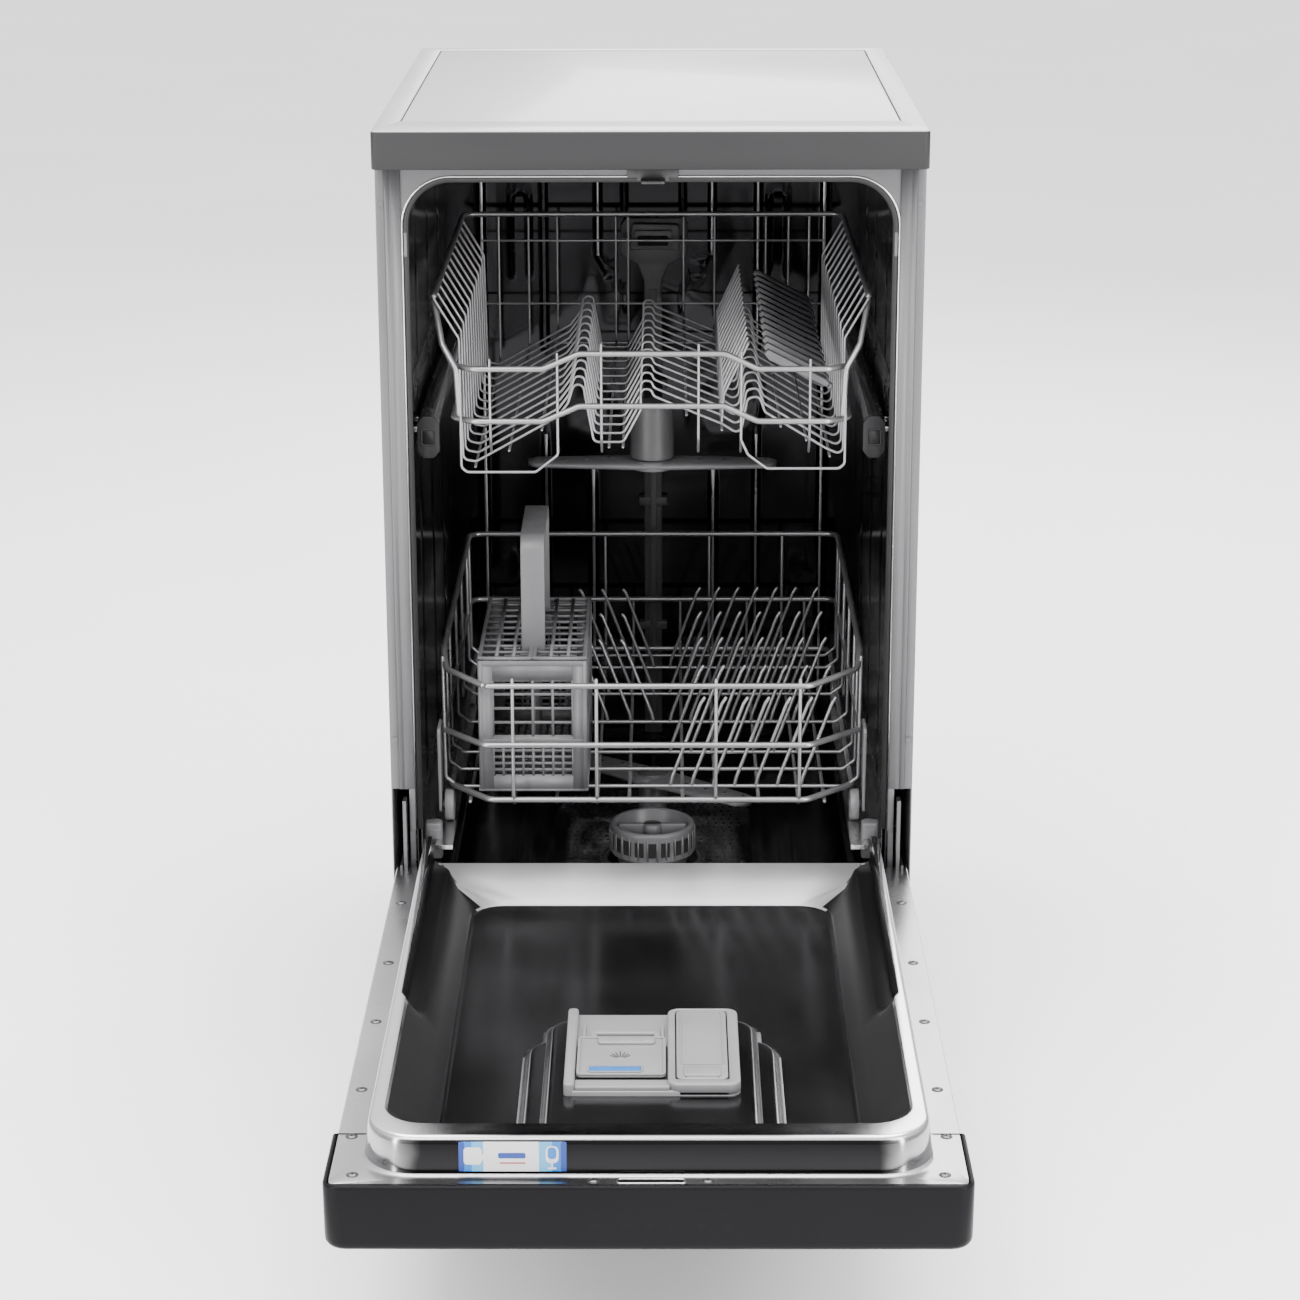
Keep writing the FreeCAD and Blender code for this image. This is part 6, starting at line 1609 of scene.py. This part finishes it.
def make_door_screws():
    """Pan-head screws round the liner's flange, the striker's slot and the sticker on the rim."""
    heads = [screw_head(x, u, FLANGE_W) for x, u in screw_places()]
    link("flange_screws", join(heads), ["hinge_steel", "void", "dark_plastic"], "door", ["door_screws"])
    rim = frame_of((-22, 26), (595.7, 603.7), 1.1, (4.3, 5.1), 3.4, 0, 0.4)
    pocket = (-21.6, 25.6), (596.7, 603.1)
    # The pocket's walls and bottom are flat black: painted shade inside the slot.
    walls = frame_of(*pocket, 0.5, (0.2, 3.5), 1.5, 1, 0.1)
    bottom = pad_of(*pocket, (-13.6, -13), 1.5, 1, 0.1)
    link("latch_slot_edge", join([rim, walls, bottom]), ["bright_steel", "void"], "door")
    make_sticker()


def make_sticker():
    """A generic wordless detergent sticker on the rim's near wall: a tablet, a band and a glass."""
    x0, x1, w0, w1 = -131, -56.5, 8.6, 30.2

    def tag(a0, a1, b0, b1, number, height=0.0, radius=1.5):
        outline = rounded(rect(a0, a1, b0, b1), radius, 4)
        points = [door(x, 593.1 - (w - 6.2) * 0.08 + height * 3, w) for x, w in outline]
        mesh = from_faces(points, [tuple(range(len(points)))])
        if mesh.polygons[0].normal.y > 0:
            mesh.flip_normals()
        return paint(mesh, number)
    middle = (x0 + x1) / 2
    parts = [tag(x0, x1, w0, w1, 0)]
    for start, end, tone in ((x0, x0 + 4, 1), (x0 + 4, x0 + 9, 3), (x0 + 9, x0 + 17, 4),
                             (x1 - 4, x1, 1), (x1 - 10, x1 - 4, 3), (x1 - 19, x1 - 10, 4)):
        parts.append(tag(start, end, w0, w1, tone, 0.04, 0.8 if tone == 1 else 0.01))
    parts += [tag(x0 + 3.5, x0 + 16, w0 + 5, w1 - 4, 0, 0.1, 2.5),
              tag(x0 + 13, x0 + 20, w0 + 8, w1 - 9, 0, 0.14, 2),
              tag(x1 - 14.5, x1 - 5.5, w0 + 6, w1 - 3, 0, 0.1, 3.5),
              tag(x1 - 13, x1 - 7, w0 + 9, w1 - 4, 3, 0.14, 2.5),
              tag(x1 - 10.6, x1 - 9.4, w0 + 2.5, w0 + 7, 0, 0.1, 0.3),
              tag(x1 - 13, x1 - 7, w0 + 1.6, w0 + 3, 0, 0.1, 0.5),
              tag(middle - 10, middle + 9, w0 + 9.5, w0 + 13.5, 1, 0.08, 1.2),
              tag(middle - 9, middle + 9, w0 + 5.6, w0 + 6.6, 2, 0.08, 0.4)]
    link("tablet_sticker", join(parts), ["sticker_white", "sticker_blue", "sticker_red", "sticker_cyan",
                                         "sticker_sky"], "door")


def screw_places():
    """Where the liner's screws stand on the door's flange, as x and u."""
    rows = [(sign * 211, u) for sign in (-1, 1) for u in (84, 214, 330, 452, 530)]
    return rows + [(sign * 205, 590) for sign in (-1, 1)] + [(-38, 599), (41, 599)]


def screw_head(x, u, w):
    """A pan-head screw with a cross recess, standing in a shallow washer."""
    _, y, _ = door(x, u, w)
    base = PIVOT_Z + w
    washer = lathe([(4.4, base - 0.2), (4.4, base + 0.12), (3.9, base + 0.2)], (x, y, 0), "z", 20, 2)
    head = lathe([(3.3, base), (3.3, base + 0.35), (2.9, base + 0.8), (1.8, base + 1.1)], (x, y, 0), "z", 20)
    cross = []
    # The cross recess is two flat black quads: painted shade.
    for wide, deep in ((2.0, 0.45), (0.45, 2.0)):
        corners = rect(x - wide, x + wide, y - deep, y + deep)
        cross.append(paint(from_faces([(a, b, base + 1.13) for a, b in corners], [(0, 1, 2, 3)]), 1))
    return join([washer, head] + cross)


KEPT = {"rear_feet": "black_plastic", "base_tray": "dark_plastic", "hinge_brackets": "hinge_steel",
        "hinge_arms": "hinge_steel", "lower_tracks": "bright_steel", "upper_wheel_axles": "bright_steel",
        "sump": "dark_plastic", "circulation_pump": "dark_plastic", "drain_pump": "dark_plastic",
        "water_softener": "pale_plastic", "inlet_valve": "pale_plastic", "drain_spigot": "dark_plastic",
        "cabinet_screws": "hinge_steel", "door_springs": "bright_steel", "control_board": "dark_plastic",
        "latch_hook": "mid_plastic", "upper_feed_tube": "mid_plastic", "tub_front_frame": "trim"}


def finish_kept_nodes():
    """Detailed materials for the CAD nodes that stay as they are."""
    for name, node in NODES.items():
        key = KEPT.get(name)
        if key is None:
            continue
        if not node.material_slots:
            node.data.materials.append(M[key])
        for place in node.material_slots:
            place.material = M[key]


# ---------------------------------------------------------------- floor, light and camera

def make_stage():
    """A pale floor and an even studio sky."""
    reach = 30000
    corners = [(x, y, 0) for x, y in rect(-reach, reach, -reach, reach)]
    floor_mesh = from_faces(corners, [(0, 1, 2, 3)])
    floor_piece = bpy.data.objects.new("floor", floor_mesh)
    bpy.context.scene.collection.objects.link(floor_piece)
    n = Nodes("floor_paint")
    cloud = n.noise(1.5, 3, 0.5)
    floor_mesh.materials.append(n.finish(Base_Color=n.tint(cloud, (0.9, 0.9, 0.9), (0.93, 0.93, 0.93)),
                                         Roughness=n.spread(cloud, 0.75, 0.9)))
    world = bpy.data.worlds.new("studio")
    bpy.context.scene.world = world
    world.use_nodes = True
    tree = world.node_tree
    coords = tree.nodes.new("ShaderNodeTexCoord")
    parts = tree.nodes.new("ShaderNodeSeparateXYZ")
    tree.links.new(coords.outputs["Generated"], parts.inputs[0])
    ramp = tree.nodes.new("ShaderNodeValToRGB")
    ramp.color_ramp.elements[0].position = 0.0
    ramp.color_ramp.elements[0].color = (0.42, 0.42, 0.44, 1)
    ramp.color_ramp.elements[1].position = 0.9
    ramp.color_ramp.elements[1].color = (1.0, 1.0, 1.0, 1)
    tree.links.new(parts.outputs["Z"], ramp.inputs[0])
    tree.links.new(ramp.outputs[0], tree.nodes["Background"].inputs[0])
    tree.nodes["Background"].inputs[1].default_value = 2.3


def area_light(name, place, aim, size, power):
    """A rectangular lamp at a place in metres, turned toward its aim."""
    data = bpy.data.lights.new(name, "AREA")
    data.shape = "RECTANGLE"
    data.size, data.size_y = size
    data.energy = power
    lamp = bpy.data.objects.new(name, data)
    bpy.context.scene.collection.objects.link(lamp)
    lamp.location = place
    way = Vector(aim) - Vector(place)
    lamp.rotation_euler = way.to_track_quat("-Z", "Y").to_euler()


def make_camera():
    """The photograph's viewpoint: in front and above, looking a little down."""
    data = bpy.data.cameras.new("camera")
    data.sensor_width = 36
    data.lens = 88.264
    data.clip_end = 50
    holder = bpy.data.objects.new("camera", data)
    bpy.context.scene.collection.objects.link(holder)
    pitch, yaw, roll = 0.3006, -0.0048, -0.0019
    ahead = Vector((math.sin(yaw) * math.cos(pitch), math.cos(yaw) * math.cos(pitch), -math.sin(pitch)))
    right = Vector((math.cos(yaw), -math.sin(yaw), 0))
    up = right.cross(ahead)
    side = right * math.cos(roll) + up * math.sin(roll)
    over = up * math.cos(roll) - right * math.sin(roll)
    turn = Matrix((side, over, -ahead)).transposed().to_4x4()
    holder.matrix_world = Matrix.Translation((0.0113, -2.5627, 1.2087)) @ turn
    bpy.context.scene.camera = holder


for build in (make_worktop, make_panels, make_base, make_tub_walls, make_tub_back, make_tub_floor, make_front,
              make_corner_guides, make_water_parts, make_upper_rack, make_lower_rack, make_cutlery_basket,
              make_liner, make_hump, make_dispenser, make_fascia, make_skin, make_door_screws,
              finish_kept_nodes, make_stage):
    build()
for name, place, aim, size, power in (
        ("key", (-0.9, -2.0, 2.7), (0, -0.2, 0.3), (1.6, 1.2), 60),
        ("fill", (1.6, -2.2, 1.9), (0, -0.1, 0.3), (1.0, 1.4), 36),
        ("top", (0, 0.1, 3.0), (0, 0, 0.5), (2.6, 2.0), 165),
        ("strip_left", (-1.25, -1.5, 0.75), (0, 0.3, 0.55), (0.16, 1.3), 22),
        ("strip_right", (1.25, -1.5, 0.75), (0, 0.3, 0.55), (0.16, 1.3), 22),
        ("rear", (0.6, 2.6, 2.0), (0, 0.4, 0.4), (2.0, 1.6), 60)):
    area_light(name, place, aim, size, power)
make_camera()
